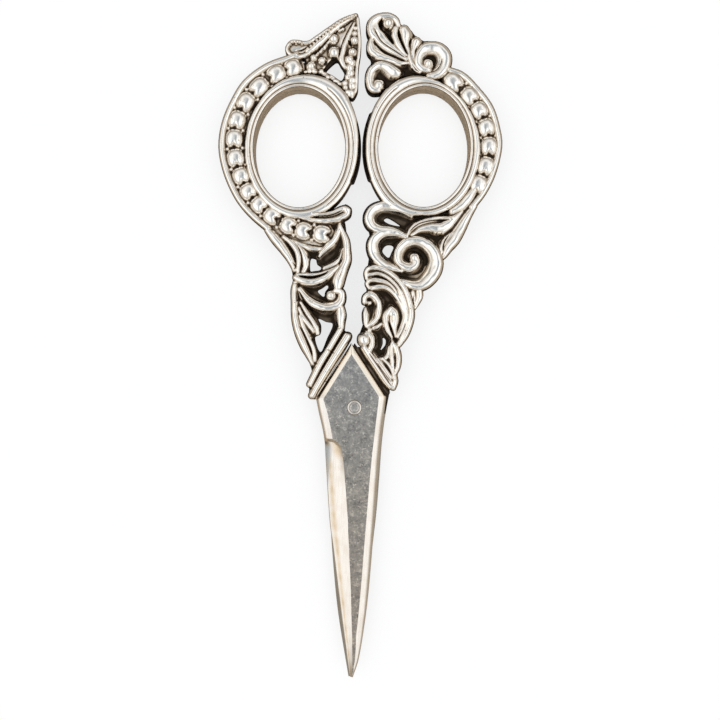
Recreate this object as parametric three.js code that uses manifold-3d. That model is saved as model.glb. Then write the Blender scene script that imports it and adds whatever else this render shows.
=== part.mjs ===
import * as THREE from 'three';
import { mergeVertices } from 'three/addons/utils/BufferGeometryUtils.js';
import Module from 'manifold-3d';

// Embroidery scissors: two steel blades on a flush rivet, with handles of struck silver shells.
// Millimetres. X runs across, Y from the tips (minus) to the finger rings (plus), Z out of the
// front face. The pivot axis is X = Y = 0, and Z = 0 is the outer face of the rear blade.

// Blades
const BLADE_LENGTH = 46.3; // pivot to tips
const BLADE_THICKNESS = 1.7; // each blade at the pivot
const TIP_THICKNESS = 0.5;
const SHEAR_GAP = 0.06; // between the two inner faces
const ROOT_DROP = 6; // pivot down to where the hollow grinding starts
const BELLY_DROP = 19.5; // pivot down to the middle station
const LOW_DROP = 36; // pivot down to the lower station
const CUT_ROOT = 5.3; // centreline out to the cutting edge at those three stations
const CUT_BELLY = 4.25;
const CUT_LOW = 1.85;
const SPINE_TOP = 4.9; // centreline out to the back of either blade at its shoulder
const SPINE_ROOT = 4.3; // and at those three stations
const SPINE_BELLY = 3.5;
const SPINE_LOW = 2.25;
const REAR_CUT_ROOT = 4.65; // the rear blade is ground narrower on its cutting side
const REAR_CUT_BELLY = 3.8;
const REAR_SPINE_ROOT = 4.7; // and wider at its back
const REAR_SPINE_BELLY = 4.1;
const REAR_SPINE_LOW = 2.4;
const TIP_OFFSET = 0.3; // each tip lies this far to its own back side
const CHAMFER_WIDTH = 1.15; // bright chamfer round the flat face
const CHAMFER_DROP = 0.55; // and how far it falls
const HOLLOW_WIDTH = 3.1; // hollow-ground bevel along the cutting edge
const HOLLOW_SAG = 0.18; // its concavity
const PLUNGE_LENGTH = 2.6; // length of the scoop where the hollow starts
const EDGE_LAND = 0.22; // thickness left at the cutting edge
const APEX_BLUNT = 0.05; // taken off the point of the gable
const APEX_RIDGE = 2.2; // length at the gable's point where its two chamfers meet
const TIP_FLAT = 0.02; // width of the blunt tip
const EDGE_STEPS = 24; // points along each edge's curve
const MEETING_TOLERANCE = 1e-7;
const BEVEL_SHARE = 0.55; // most of a narrow blade's width that the bevel takes
const CHAMFER_SHARE = 0.35; // and that the chamfer takes

// Rivet
const RIVET_RADIUS = 0.95;
const RIVET_HEAD_RADIUS = 1.15; // flush, spread into a countersink at each end
const RIVET_HEAD_DEPTH = 0.35;
const RIVET_CLEARANCE = 0.05;
const ROUND_SIDES = 32;

// Collars: the straight faces where the handles meet the blades
const CENTRE_X = 0.4; // the closed scissors' centreline lies this far right of the pivot
const LEFT_FACE_OUT = 6.95; // lower end of each face, out from the centreline
const LEFT_FACE_UP = 1.4; // and up from the pivot
const LEFT_FACE_DEGREES = 59.6; // slope of each face
const LEFT_FACE_LENGTH = 11.3;
const RIGHT_FACE_OUT = 5.45;
const RIGHT_FACE_UP = 3.1;
const RIGHT_FACE_DEGREES = 53.6;
const RIGHT_FACE_LENGTH = 9.4;
const COLLAR_GAP = 0.1; // a blade to its own handle
const PASSING_GAP = 0.7; // a blade to the other handle
const COLLAR_HEIGHT = 1.5; // flat bed under the collar's bars
const LEFT_BAR_OFF = 0.85; // first bar's middle, off the face
const LEFT_BAR_PITCH = 1.55;
const LEFT_BAR_WIDTH = 1.2;
const RIGHT_BAR_OFF = 0.8;
const RIGHT_BAR_PITCH = 1.6;
const RIGHT_BAR_WIDTH = 1.5;
// Runs of the collar's bars and bed past the lower and upper ends of the face: minus stops short
const LEFT_FIRST_BAR_RUN = [0.4, 0.6];
const LEFT_SECOND_BAR_RUN = [-1, 1.2];
const LEFT_BED_RUN = [-1, 0.4];
const RIGHT_FIRST_BAR_RUN = [0.2, 0];
const RIGHT_SECOND_BAR_RUN = [-0.9, -2.4];
const RIGHT_BED_RUN = [-0.3, -0.6];

// Tangs, set in cement inside the handles
const TANG_WIDTH = 4.6;
const TANG_DEPTH = 1.9;
const TANG_THICKNESS = 1;
const LEFT_TANG_ALONG = 5.1; // lower end of the face to the middle of the tang
const RIGHT_TANG_ALONG = 4.2;
const TANG_ROOT = 1; // how far the tang runs on inside its blade
const TANG_STEP = 0.02; // and how far above the blade's inner face
const CEMENT_WALL = 0.3;
const CEMENT_FIT = 0.04;

// Handles
const HALF_THICKNESS = 2.5; // each shell, seam to crown
const SEAM_GAP = 0.04; // solder line between the two shells
const GROUND_HEIGHT = 1; // sunk ground between the scrolls
const SIDE_HEIGHT = 1.35; // straight side below each scroll's rounding
const STRAND_HALF_WIDTH = 0.7; // the patterns give widths as multiples of this
const CROWN_SHARE = 0.5; // flat top of a strand, as a share of its width
const FINE_STEPS = 12; // fine steps in each span of a strand's curve
const RING_OPEN_WIDTH = 15.6;
const RING_OPEN_HEIGHT = 20.4;
const RING_WALL = 2.2;
const RING_GAP = 0.7; // between the closed rings
const LEFT_RING_UP = 44; // pivot to each ring's centre
const RIGHT_RING_UP = 44.5;
const RING_INNER_SIDE = 2; // tall straight wall round the finger
const LEFT_BORDER = 4.2; // beaded border outside the ring, at its side and its top
const LEFT_BORDER_TOP = 4;
const RIGHT_BORDER = 3.8;
const RIGHT_BORDER_TOP = 2.2;
const RIM_WIDTH = 1.1;
const BEAD_LENGTH = 2.5;
const BEAD_WIDTH = 2.4;
const SHANK_FOOT = 11.1; // pivot to the foot of the shank's panel
const SHANK_WIDTH = 15; // panels that the scroll patterns are drawn on
const FINIAL_WIDTH = 15;
const LEFT_FINIAL_HEIGHT = 11;
const RIGHT_FINIAL_HEIGHT = 10.4;

const wasm = await Module();
wasm.setup();
const { Manifold, Mesh } = wasm;

const radians = THREE.MathUtils.degToRad;
const backZ = 0;
const shearZ = backZ + BLADE_THICKNESS + SHEAR_GAP / 2;
const ringHalfWidth = RING_OPEN_WIDTH / 2 + RING_WALL;
const ringHalfHeight = RING_OPEN_HEIGHT / 2 + RING_WALL;

// A closed three.js geometry as a solid, and back again
function solid(geometry) {
  const bare = geometry.index ? geometry.toNonIndexed() : geometry.clone();
  for (const name of Object.keys(bare.attributes)) {
    if (name !== 'position') bare.deleteAttribute(name);
  }
  const merged = mergeVertices(bare, 1e-5);
  const vertProperties = new Float32Array(merged.attributes.position.array);
  const triVerts = new Uint32Array(merged.index.array);
  return new Manifold(new Mesh({ numProp: 3, vertProperties, triVerts }));
}

function geometryOf(manifold) {
  const { vertProperties, triVerts } = manifold.getMesh();
  const geometry = new THREE.BufferGeometry();
  geometry.setAttribute('position', new THREE.BufferAttribute(new Float32Array(vertProperties), 3));
  geometry.setIndex(new THREE.BufferAttribute(new Uint32Array(triVerts), 1));
  return geometry;
}

const unite = (solids) => solids.reduce((whole, next) => whole.add(next));

// Rings of points, all with the same count, skinned into one closed body. Seen along the way
// they run, the points go round anticlockwise.
function skin(rings, closed = false) {
  const count = rings[0].length;
  const position = rings.flat().flatMap((point) => [point.x, point.y, point.z]);
  const index = [];
  const spans = closed ? rings.length : rings.length - 1;
  for (let ring = 0; ring < spans; ring++) {
    const here = ring * count;
    const next = ((ring + 1) % rings.length) * count;
    for (let k = 0; k < count; k++) {
      const after = (k + 1) % count;
      index.push(here + k, next + after, here + after, here + k, next + k, next + after);
    }
  }
  const end = (rings.length - 1) * count;
  for (let k = 1; k < count - 1 && !closed; k++) {
    index.push(0, k, k + 1);
    index.push(end, end + k + 1, end + k);
  }
  const geometry = new THREE.BufferGeometry();
  geometry.setAttribute('position', new THREE.Float32BufferAttribute(position, 3));
  geometry.setIndex(index);
  return geometry;
}

// Points along a curve, closer together where it bends
function pointsByBend(path, spans, turn) {
  const fine = path.getPoints(spans * FINE_STEPS);
  const heading = (i) => Math.atan2(fine[i + 1].y - fine[i].y, fine[i + 1].x - fine[i].x);
  const kept = [fine[0]];
  let bend = 0;
  for (let i = 1; i < fine.length - 1; i++) {
    const change = heading(i) - heading(i - 1);
    bend += Math.abs(Math.atan2(Math.sin(change), Math.cos(change)));
    if (bend < turn) continue;
    kept.push(fine[i]);
    bend = 0;
  }
  return [...kept, fine.at(-1)];
}

// Sections of the bars: places across in half-widths, from the right to the left, and heights
const flatSection = (height) => [[1, 0], [1, height], [-1, height], [-1, 0]];
const ridgeSection = [[1, 0], [1, SIDE_HEIGHT], [0, HALF_THICKNESS], [-1, SIDE_HEIGHT], [-1, 0]];
const roundSection = (rightSide, leftSide) => [[1, 0], [1, rightSide], [CROWN_SHARE, HALF_THICKNESS],
  [-CROWN_SHARE, HALF_THICKNESS], [-1, leftSide], [-1, 0]];

// A bar on the seam plane along points of (x, y, half-width)
function bar(samples, section, closed = false) {
  const count = samples.length;
  const rings = samples.map((point, i) => {
    const before = samples[closed ? (i + count - 1) % count : Math.max(i - 1, 0)];
    const after = samples[closed ? (i + 1) % count : Math.min(i + 1, count - 1)];
    const across = new THREE.Vector3(after.y - before.y, before.x - after.x, 0).normalize();
    return section.map(([offset, height]) =>
      across.clone().multiplyScalar(offset * point.z).add(new THREE.Vector3(point.x, point.y, height)));
  });
  return solid(skin(rings, closed));
}

// A strand of ornament: a bar along a smooth curve through its points
function strand(points, turn) {
  const path = new THREE.CatmullRomCurve3(points, false, 'centripetal');
  return bar(pointsByBend(path, points.length - 1, radians(turn)), ridgeSection);
}

// A domed bead, turned to lie along its row
function bead(x, y, halfLength, halfWidth, angle, detail) {
  const dome = new THREE.SphereGeometry(1, detail.beadSides, detail.beadRings);
  dome.rotateX(Math.PI / 2);
  dome.scale(halfLength, halfWidth, HALF_THICKNESS - GROUND_HEIGHT / 2);
  dome.rotateZ(angle);
  dome.translate(x, y, GROUND_HEIGHT / 2);
  const below = new THREE.BoxGeometry(4 * halfLength, 4 * halfLength, 2 * HALF_THICKNESS);
  below.translate(x, y, -HALF_THICKNESS);
  return solid(dome).subtract(solid(below));
}

// Sunk ground between the strands, with its pierced holes
function ground(outline, holes = []) {
  const shape = new THREE.Shape(outline);
  shape.holes = holes.map((hole) => new THREE.Path(hole));
  return solid(new THREE.ExtrudeGeometry(shape, { depth: GROUND_HEIGHT, bevelEnabled: false }));
}

// The frames that a handle's ornament is drawn in. Side is -1 on the left and 1 on the right.
function handleFrames(side, face, ringUp, finialHeight) {
  const ringOut = ringHalfWidth + RING_GAP / 2;
  const slope = radians(face.degrees);
  const place = (out, up) => new THREE.Vector2(CENTRE_X + side * out, up);
  const panel = (width, foot, height) => ([x, y, multiple = 0]) => {
    const at = place((x / 100) * width, foot + (y / 100) * height);
    return new THREE.Vector3(at.x, at.y, multiple * STRAND_HALF_WIDTH);
  };
  const ringFoot = ringUp - ringHalfHeight;
  return {
    side,
    // Angle from the outward direction, and distance outside the ring at its side and its top
    ring(degrees, outSide, outTop, halfWidth = 0) {
      const turn = radians(degrees);
      const at = place(ringOut + (ringHalfWidth + outSide) * Math.cos(turn),
        ringUp + (ringHalfHeight + outTop) * Math.sin(turn));
      return new THREE.Vector3(at.x, at.y, halfWidth);
    },
    // Distance along the face from its lower end, and distance off it into the handle
    face(along, off, halfWidth = 0) {
      const out = face.out - along * Math.cos(slope) + off * Math.sin(slope);
      const at = place(out, face.up + along * Math.sin(slope) + off * Math.cos(slope));
      return new THREE.Vector3(at.x, at.y, halfWidth);
    },
    faceRun: ([below, above]) => [-below, face.length + above],
    shank: panel(SHANK_WIDTH, SHANK_FOOT, ringFoot - SHANK_FOOT),
    finial: panel(FINIAL_WIDTH, ringUp + ringHalfHeight, finialHeight),
  };
}

const leftFace = {
  out: LEFT_FACE_OUT, up: LEFT_FACE_UP, degrees: LEFT_FACE_DEGREES, length: LEFT_FACE_LENGTH,
  tang: LEFT_TANG_ALONG,
};
const rightFace = {
  out: RIGHT_FACE_OUT, up: RIGHT_FACE_UP, degrees: RIGHT_FACE_DEGREES, length: RIGHT_FACE_LENGTH,
  tang: RIGHT_TANG_ALONG,
};
const left = handleFrames(-1, leftFace, LEFT_RING_UP, LEFT_FINIAL_HEIGHT);
const right = handleFrames(1, rightFace, RIGHT_RING_UP, RIGHT_FINIAL_HEIGHT);

// Patterns: points of (across, up, half-width) on a panel, in hundredths of its sides
const LEFT_SHANK = {
  outerLobe: [[104, 95, 0.7], [93, 83, 1], [81, 73, 1], [74, 63, 0.9], [73, 53, 0.9]],
  middleLobe: [[92, 92, 0.7], [80, 82, 0.9], [72, 73, 1], [68, 63, 0.9], [68, 53, 0.7]],
  innerLobe: [[78, 86, 0.5], [68, 78, 0.9], [62, 71, 0.8], [61, 63, 0.7], [64, 55, 0.6]],
  channelEdge: [[92, 89, 0.6], [65, 83, 0.6], [30, 80, 0.6]],
  crescent: [[73, 53, 0.9], [57, 52, 1.2], [41, 55, 1.1], [20, 64, 0.8]],
  stem: [[27, 103, 0.9], [20, 92, 1.1], [16, 77, 1.1], [17, 65, 1.1], [23, 55, 1.1], [28, 45, 1]],
  upperLeaf: [[24, 97, 0.7], [29, 85, 0.9], [38, 78, 0.8], [48, 71, 0.6]],
  lowerLeaf: [[20, 85, 0.7], [26, 74, 0.9], [34, 65, 0.8], [43, 59, 0.6]],
  scroll: [[71, 48, 1], [59, 34, 1], [48, 30, 1.1], [36, 28, 1.1], [26, 30, 1], [20, 36, 1], [24, 42, 0.9]],
  outerStem: [[72, 53, 1], [73, 31, 1.1], [73, 18, 1.1], [68, 6, 1.1], [60, -4, 1.1], [52, -15, 1]],
  dropLeaf: [[71, 36, 0.7], [64, 26, 1.1], [57, 17, 1.1], [49, 9, 0.9]],
  footLeaf: [[68, 12, 0.7], [61, 1, 0.8], [55, -8, 0.8], [50, -17, 0.8]],
  innerStem: [[24, 32, 1], [23, 20, 1], [21, 9, 1]],
  ringTail: [[62, 99, 0.8], [46, 101, 1], [31, 104, 1.1], [15, 111, 1.2]],
};
const LEFT_SHANK_BALLS = [[31, 40, 1.2], [15, 111, 1.2]];
const LEFT_SHANK_HOLES = [
  [[57, 69], [50, 70], [45, 62], [55, 59]],
  [[38, 46], [46, 42], [40, 37]],
  [[46, 20], [29, 16], [42, -7], [50, 3], [44, 8]],
];
const LEFT_SHANK_GROUND = [
  [104, 95], [89, 77], [77, 60], [74, 18], [62, -7], [50, -15], [20, 11], [22, 47], [15, 67], [24, 104],
];
const LEFT_FINIAL = {
  border: [[11, 91, 0.6], [25, 80, 0.9], [38, 67, 1], [51, 52, 1], [62, 42, 1], [71, 34, 0.9], [81, 36, 0.9]],
  innerRib: [[10, 93, 0.5], [8, 65, 0.8], [9, 28, 0.8], [10, -8, 0.8], [15, -30, 0.7]],
  vein: [[12, 86, 0.5], [22, 57, 0.7], [27, 28, 0.7]],
  footRib: [[24, -12, 0.7], [42, -2, 0.7], [62, 4, 0.7]],
};
const LEFT_FINIAL_BALLS = [
  [83, 43, 1.1], [61, 16, 1.2], [48, 23, 1.1], [36, 38, 1.5], [33, 59, 1.3], [14, 38, 1.2], [16, 22, 1.4],
  [19, -14, 1.2],
];
const LEFT_FINIAL_HOLES = [[[31, 17], [41, 6], [28, -5], [25, 3]]];
const LEFT_FINIAL_GROUND = [
  [10, 94], [6, 65], [7, 24], [8, -8], [14, -33], [24, -24], [27, -12], [62, 2], [76, 14], [68, 30], [28, 76],
];
const RIGHT_SHANK = {
  upperHook: [[55, 106, 0.9], [38, 109, 0.9], [26, 112, 0.9], [16, 111, 0.9], [12, 105, 1], [17, 98, 1],
    [29, 95, 1.1], [43, 92, 1], [52, 87, 1]],
  lowerHook: [[52, 88, 1], [34, 90, 1.1], [21, 86, 1.2], [15, 79, 1.2], [18, 72, 1.2], [27, 66, 1.2],
    [37, 62, 1.1], [50, 60, 1]],
  spiral: [[60, 65, 0.9], [51, 66, 0.9], [45, 72, 1], [48, 79, 1], [56, 82, 1.1], [66, 83, 1.1], [78, 79, 1.2],
    [86, 71, 1.2], [86, 64, 1.2], [82, 57, 1.3], [74, 51, 1.3], [64, 49, 1.2], [52, 49, 1]],
  upperLeaf: [[53, 86, 0.8], [61, 95, 1.1], [74, 99, 1.2], [91, 102, 1.1], [112, 107, 0.9]],
  longLeaf: [[128, 113, 1.1], [121, 100, 1.2], [111, 88, 1.2], [101, 78, 1], [92, 70, 0.6]],
  innerLeaf: [[106, 102, 0.7], [101, 88, 0.9], [94, 78, 0.8], [88, 72, 0.8]],
  fanTop: [[12, 61, 0.9], [24, 62, 0.9], [39, 57, 1], [51, 47, 1], [59, 35, 1], [60, 22, 1], [56, 8, 1],
    [46, -4, 0.9]],
  fanMiddle: [[11, 54, 0.9], [25, 55, 0.9], [37, 50, 0.9], [48, 42, 0.9], [54, 31, 0.9], [54, 21, 0.9],
    [50, 10, 0.8], [43, 0, 0.8]],
  fanLow: [[13, 46, 0.8], [25, 47, 0.8], [37, 44, 0.8], [46, 36, 0.8], [49, 27, 0.8], [47, 17, 0.7], [42, 6, 0.7]],
  petal: [[67, 46, 1], [66, 37, 0.9], [60, 30, 0.7]],
  smallScroll: [[9, 33, 0.7], [9, 37, 0.8], [14, 39, 0.8], [21, 37, 0.9], [24, 31, 0.9], [22, 24, 0.9],
    [15, 17, 0.9], [10, 11, 0.8]],
  smallLeaf: [[10, 31, 0.7], [9, 21, 0.9], [10, 12, 0.7]],
  footScroll: [[10, 10, 0.8], [16, 5, 0.9], [17, 0, 0.9], [14, -7, 0.8]],
  bud: [[34, 34, 0.9], [35, 23, 1.4], [37, 14, 1.2], [41, 5, 0.9], [44, -6, 0.8]],
  footLeaf: [[42, 2, 0.8], [45, -7, 1.1], [46, -14, 1.1], [43, -24, 1]],
};
const RIGHT_SHANK_BALLS = [[63, 71, 1.3], [14, 32, 0.9], [6, 2, 1.3]];
const RIGHT_SHANK_HOLES = [
  [[27, 101], [31, 103], [37, 101], [44, 97], [32, 99]],
  [[33, 80], [38, 78], [36, 72], [32, 71], [27, 75]],
  [[28, 5], [32, 1], [28, -4]],
];
const RIGHT_SHANK_GROUND = [
  [14, 109], [13, 98], [14, 79], [11, 60], [11, 39], [9, 19], [7, 0], [22, -14], [40, -23], [48, -8], [48, 0],
  [58, 21], [64, 39], [74, 50], [86, 64], [100, 77], [122, 103], [120, 113], [68, 107], [39, 111],
];
const RIGHT_FINIAL = {
  topLobe: [[35, 90, 1], [23, 95, 1], [15, 89, 1], [15, 69, 1.1], [26, 50, 1.1], [48, 29, 0.9]],
  lowerLobe: [[9, 54, 0.9], [11, 43, 1], [18, 35, 1], [30, 30, 1], [50, 22, 0.9]],
  middleLobe: [[36, 78, 0.7], [37, 61, 0.9], [42, 46, 0.9], [52, 28, 0.9]],
  bulbLobe: [[49, 69, 1.2], [49, 56, 1.1], [53, 32, 0.9]],
  smallLobe: [[61, 53, 1.2], [57, 39, 1], [60, 16, 0.9]],
  spiral: [[66, 17, 0.9], [62, 30, 0.9], [66, 43, 1], [75, 49, 1], [87, 46, 1.1], [93, 34, 1.1], [92, 19, 1.1],
    [86, 7, 1.1], [75, 3, 1.1]],
  hook: [[13, -21, 1], [8, -10, 1], [9, 4, 1.1], [14, 12, 1.1], [22, 14, 1.1], [31, 10, 1.2], [43, 0, 1.1]],
  stem: [[46, 29, 1], [55, 16, 1.2], [66, 4, 1.2], [82, -3, 1.2]],
};
const RIGHT_FINIAL_BALLS = [[27, 86, 1.3], [74, 23, 1.3], [18, -13, 1.4]];
const RIGHT_FINIAL_GROUND = [
  [11, 44], [16, 60], [17, 85], [28, 92], [37, 70], [48, 62], [60, 54], [76, 46], [90, 40], [92, 20], [100, -6],
  [60, -4], [40, -6], [16, -20], [9, -8], [12, 14], [28, 22],
];

// One handle's relief above the seam plane
function relief(frames, pattern, detail) {
  const bars = [];
  const { border, borderTop, from, to, groundTo } = pattern;
  const ringPath = (outSide, outTop, halfWidth, start, end, count) =>
    Array.from({ length: count + 1 }, (_, i) =>
      frames.ring(start + ((end - start) * i) / count, outSide, outTop, halfWidth));

  // Finger ring, with its tall wall inside, then its border's ground and the border's rim
  const wall = RING_WALL / 2;
  const ringMiddle = ringPath(-wall, -wall, wall, 0, 360, detail.ringSteps).slice(0, -1);
  const sides = [SIDE_HEIGHT, RING_INNER_SIDE];
  if (frames.side < 0) sides.reverse();
  bars.push(bar(ringMiddle, roundSection(...sides), true));
  const borderSteps = Math.round(detail.ringSteps / 2);
  const rim = RIM_WIDTH / 2;
  bars.push(bar(ringPath(border / 2 - rim, borderTop / 2 - rim, border / 2, from, groundTo, borderSteps),
    flatSection(GROUND_HEIGHT)));
  bars.push(bar(ringPath(border - rim, borderTop - rim, rim, from, to, borderSteps), ridgeSection));

  // Row of beads between ring and rim
  const row = border / 2 - rim;
  const rowTop = borderTop / 2 - rim;
  for (let i = 0; i < pattern.beads; i++) {
    const degrees = pattern.beadFrom + ((pattern.beadTo - pattern.beadFrom) * i) / (pattern.beads - 1);
    const at = frames.ring(degrees, row, rowTop);
    const ahead = frames.ring(degrees + 1, row, rowTop);
    const angle = Math.atan2(ahead.y - at.y, ahead.x - at.x);
    bars.push(bead(at.x, at.y, BEAD_LENGTH / 2, BEAD_WIDTH / 2, angle, detail));
  }

  // Scrolls, leaves, balls and pierced grounds of the shank and the finial
  const panels = [
    [frames.shank, pattern.shank, pattern.shankBalls, pattern.shankGround, pattern.shankHoles],
    [frames.finial, pattern.finial, pattern.finialBalls, pattern.finialGround, pattern.finialHoles],
  ];
  for (const [panel, strands, balls, outline, holes] of panels) {
    for (const points of Object.values(strands)) bars.push(strand(points.map(panel), detail.turn));
    for (const ball of balls) {
      const at = panel(ball);
      bars.push(bead(at.x, at.y, at.z, at.z, 0, detail));
    }
    bars.push(ground(outline.map(panel), holes.map((hole) => hole.map(panel))));
  }

  // Straight bars along the collar's face, on a flat bed
  for (const { off, run, width } of pattern.ridges) {
    bars.push(bar(frames.faceRun(run).map((along) => frames.face(along, off, width / 2)),
      roundSection(SIDE_HEIGHT, SIDE_HEIGHT)));
  }
  const bedHalf = pattern.bedDepth / 2;
  bars.push(bar(frames.faceRun(pattern.bedRun).map((along) => frames.face(along, bedHalf, bedHalf)),
    flatSection(COLLAR_HEIGHT)));

  return unite(bars);
}

const LEFT_PATTERN = {
  border: LEFT_BORDER, borderTop: LEFT_BORDER_TOP, from: 100, to: -68, groundTo: -112, beads: 14, beadFrom: 80, beadTo: -104,
  shank: LEFT_SHANK, shankBalls: LEFT_SHANK_BALLS, shankGround: LEFT_SHANK_GROUND, shankHoles: LEFT_SHANK_HOLES,
  finial: LEFT_FINIAL, finialBalls: LEFT_FINIAL_BALLS, finialGround: LEFT_FINIAL_GROUND,
  finialHoles: LEFT_FINIAL_HOLES,
  ridges: [
    { off: LEFT_BAR_OFF, run: LEFT_FIRST_BAR_RUN, width: LEFT_BAR_WIDTH },
    { off: LEFT_BAR_OFF + LEFT_BAR_PITCH, run: LEFT_SECOND_BAR_RUN, width: LEFT_BAR_WIDTH },
  ],
  bedRun: LEFT_BED_RUN, bedDepth: LEFT_BAR_OFF + LEFT_BAR_PITCH,
};
const RIGHT_PATTERN = {
  border: RIGHT_BORDER, borderTop: RIGHT_BORDER_TOP, from: 74, to: -52, groundTo: -70, beads: 8, beadFrom: 57, beadTo: -50,
  shank: RIGHT_SHANK, shankBalls: RIGHT_SHANK_BALLS, shankGround: RIGHT_SHANK_GROUND,
  shankHoles: RIGHT_SHANK_HOLES,
  finial: RIGHT_FINIAL, finialBalls: RIGHT_FINIAL_BALLS, finialGround: RIGHT_FINIAL_GROUND, finialHoles: [],
  ridges: [
    { off: RIGHT_BAR_OFF, run: RIGHT_FIRST_BAR_RUN, width: RIGHT_BAR_WIDTH },
    { off: RIGHT_BAR_OFF + RIGHT_BAR_PITCH, run: RIGHT_SECOND_BAR_RUN, width: RIGHT_BAR_WIDTH },
  ],
  bedRun: RIGHT_BED_RUN, bedDepth: RIGHT_BAR_OFF + RIGHT_BAR_PITCH,
};

// A box in a face's own axes: along it, off it and through the thickness
function faceBox(frames, along, width, offFrom, offTo, zFrom, zTo) {
  const corners = [[-1, offFrom], [1, offFrom], [1, offTo], [-1, offTo]].map(([end, off]) =>
    frames.face(along + (end * width) / 2, off));
  const shape = new THREE.Shape(corners);
  const box = new THREE.ExtrudeGeometry(shape, { depth: zTo - zFrom, bevelEnabled: false });
  return solid(box.translate(0, 0, zFrom));
}

const beyond = BLADE_LENGTH; // reaches past everything near a face

// Both shells of a handle, trimmed to the collar's face and hollowed for the cement
function shells(frames, face, pattern, detail, backDetail) {
  const bladeSide = faceBox(frames, face.tang, 2 * beyond, -beyond, 0, -beyond, beyond);
  const pocketHalf = TANG_THICKNESS / 2 + CEMENT_WALL + CEMENT_FIT;
  const pocket = faceBox(frames, face.tang, TANG_WIDTH + 2 * (CEMENT_WALL + CEMENT_FIT),
    -CEMENT_WALL, TANG_DEPTH + CEMENT_WALL + CEMENT_FIT, -pocketHalf, pocketHalf);
  const shell = (level) => geometryOf(relief(frames, pattern, level).subtract(bladeSide).subtract(pocket));
  const front = shell(detail);
  front.translate(0, 0, shearZ + SEAM_GAP / 2);
  const back = shell(backDetail);
  back.scale(1, 1, -1);
  back.setIndex(Array.from(back.index.array).reverse());
  back.translate(0, 0, shearZ - SEAM_GAP / 2);
  return { front, back };
}

// Cement sleeve round the tang
function cement(frames, face) {
  const half = TANG_THICKNESS / 2;
  const along = face.tang;
  const sleeve = faceBox(frames, along, TANG_WIDTH + 2 * CEMENT_WALL, COLLAR_GAP, TANG_DEPTH + CEMENT_WALL,
    -half - CEMENT_WALL, half + CEMENT_WALL);
  const hole = faceBox(frames, along, TANG_WIDTH + 2 * CEMENT_FIT, -COLLAR_GAP, TANG_DEPTH + CEMENT_FIT,
    -half - CEMENT_FIT, half + CEMENT_FIT);
  return geometryOf(sleeve.subtract(hole)).translate(0, 0, shearZ);
}

// The rivet's turned profile, with a spread head flush with each blade
function rivetProfile(extra, reach) {
  const neck = RIVET_RADIUS + extra;
  const head = RIVET_HEAD_RADIUS + extra;
  const low = backZ + RIVET_HEAD_DEPTH;
  const top = 2 * shearZ - backZ;
  const high = top - RIVET_HEAD_DEPTH;
  const points = [[0, backZ - reach], [head, backZ - reach], [head, backZ], [neck, low], [neck, high],
    [head, top], [head, top + reach], [0, top + reach]];
  const kept = reach > 0 ? points : points.filter((_, i) => i !== 1 && i !== 6);
  return new THREE.LatheGeometry(kept.map(([r, z]) => new THREE.Vector2(r, z)), ROUND_SIDES)
    .rotateX(Math.PI / 2);
}

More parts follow.
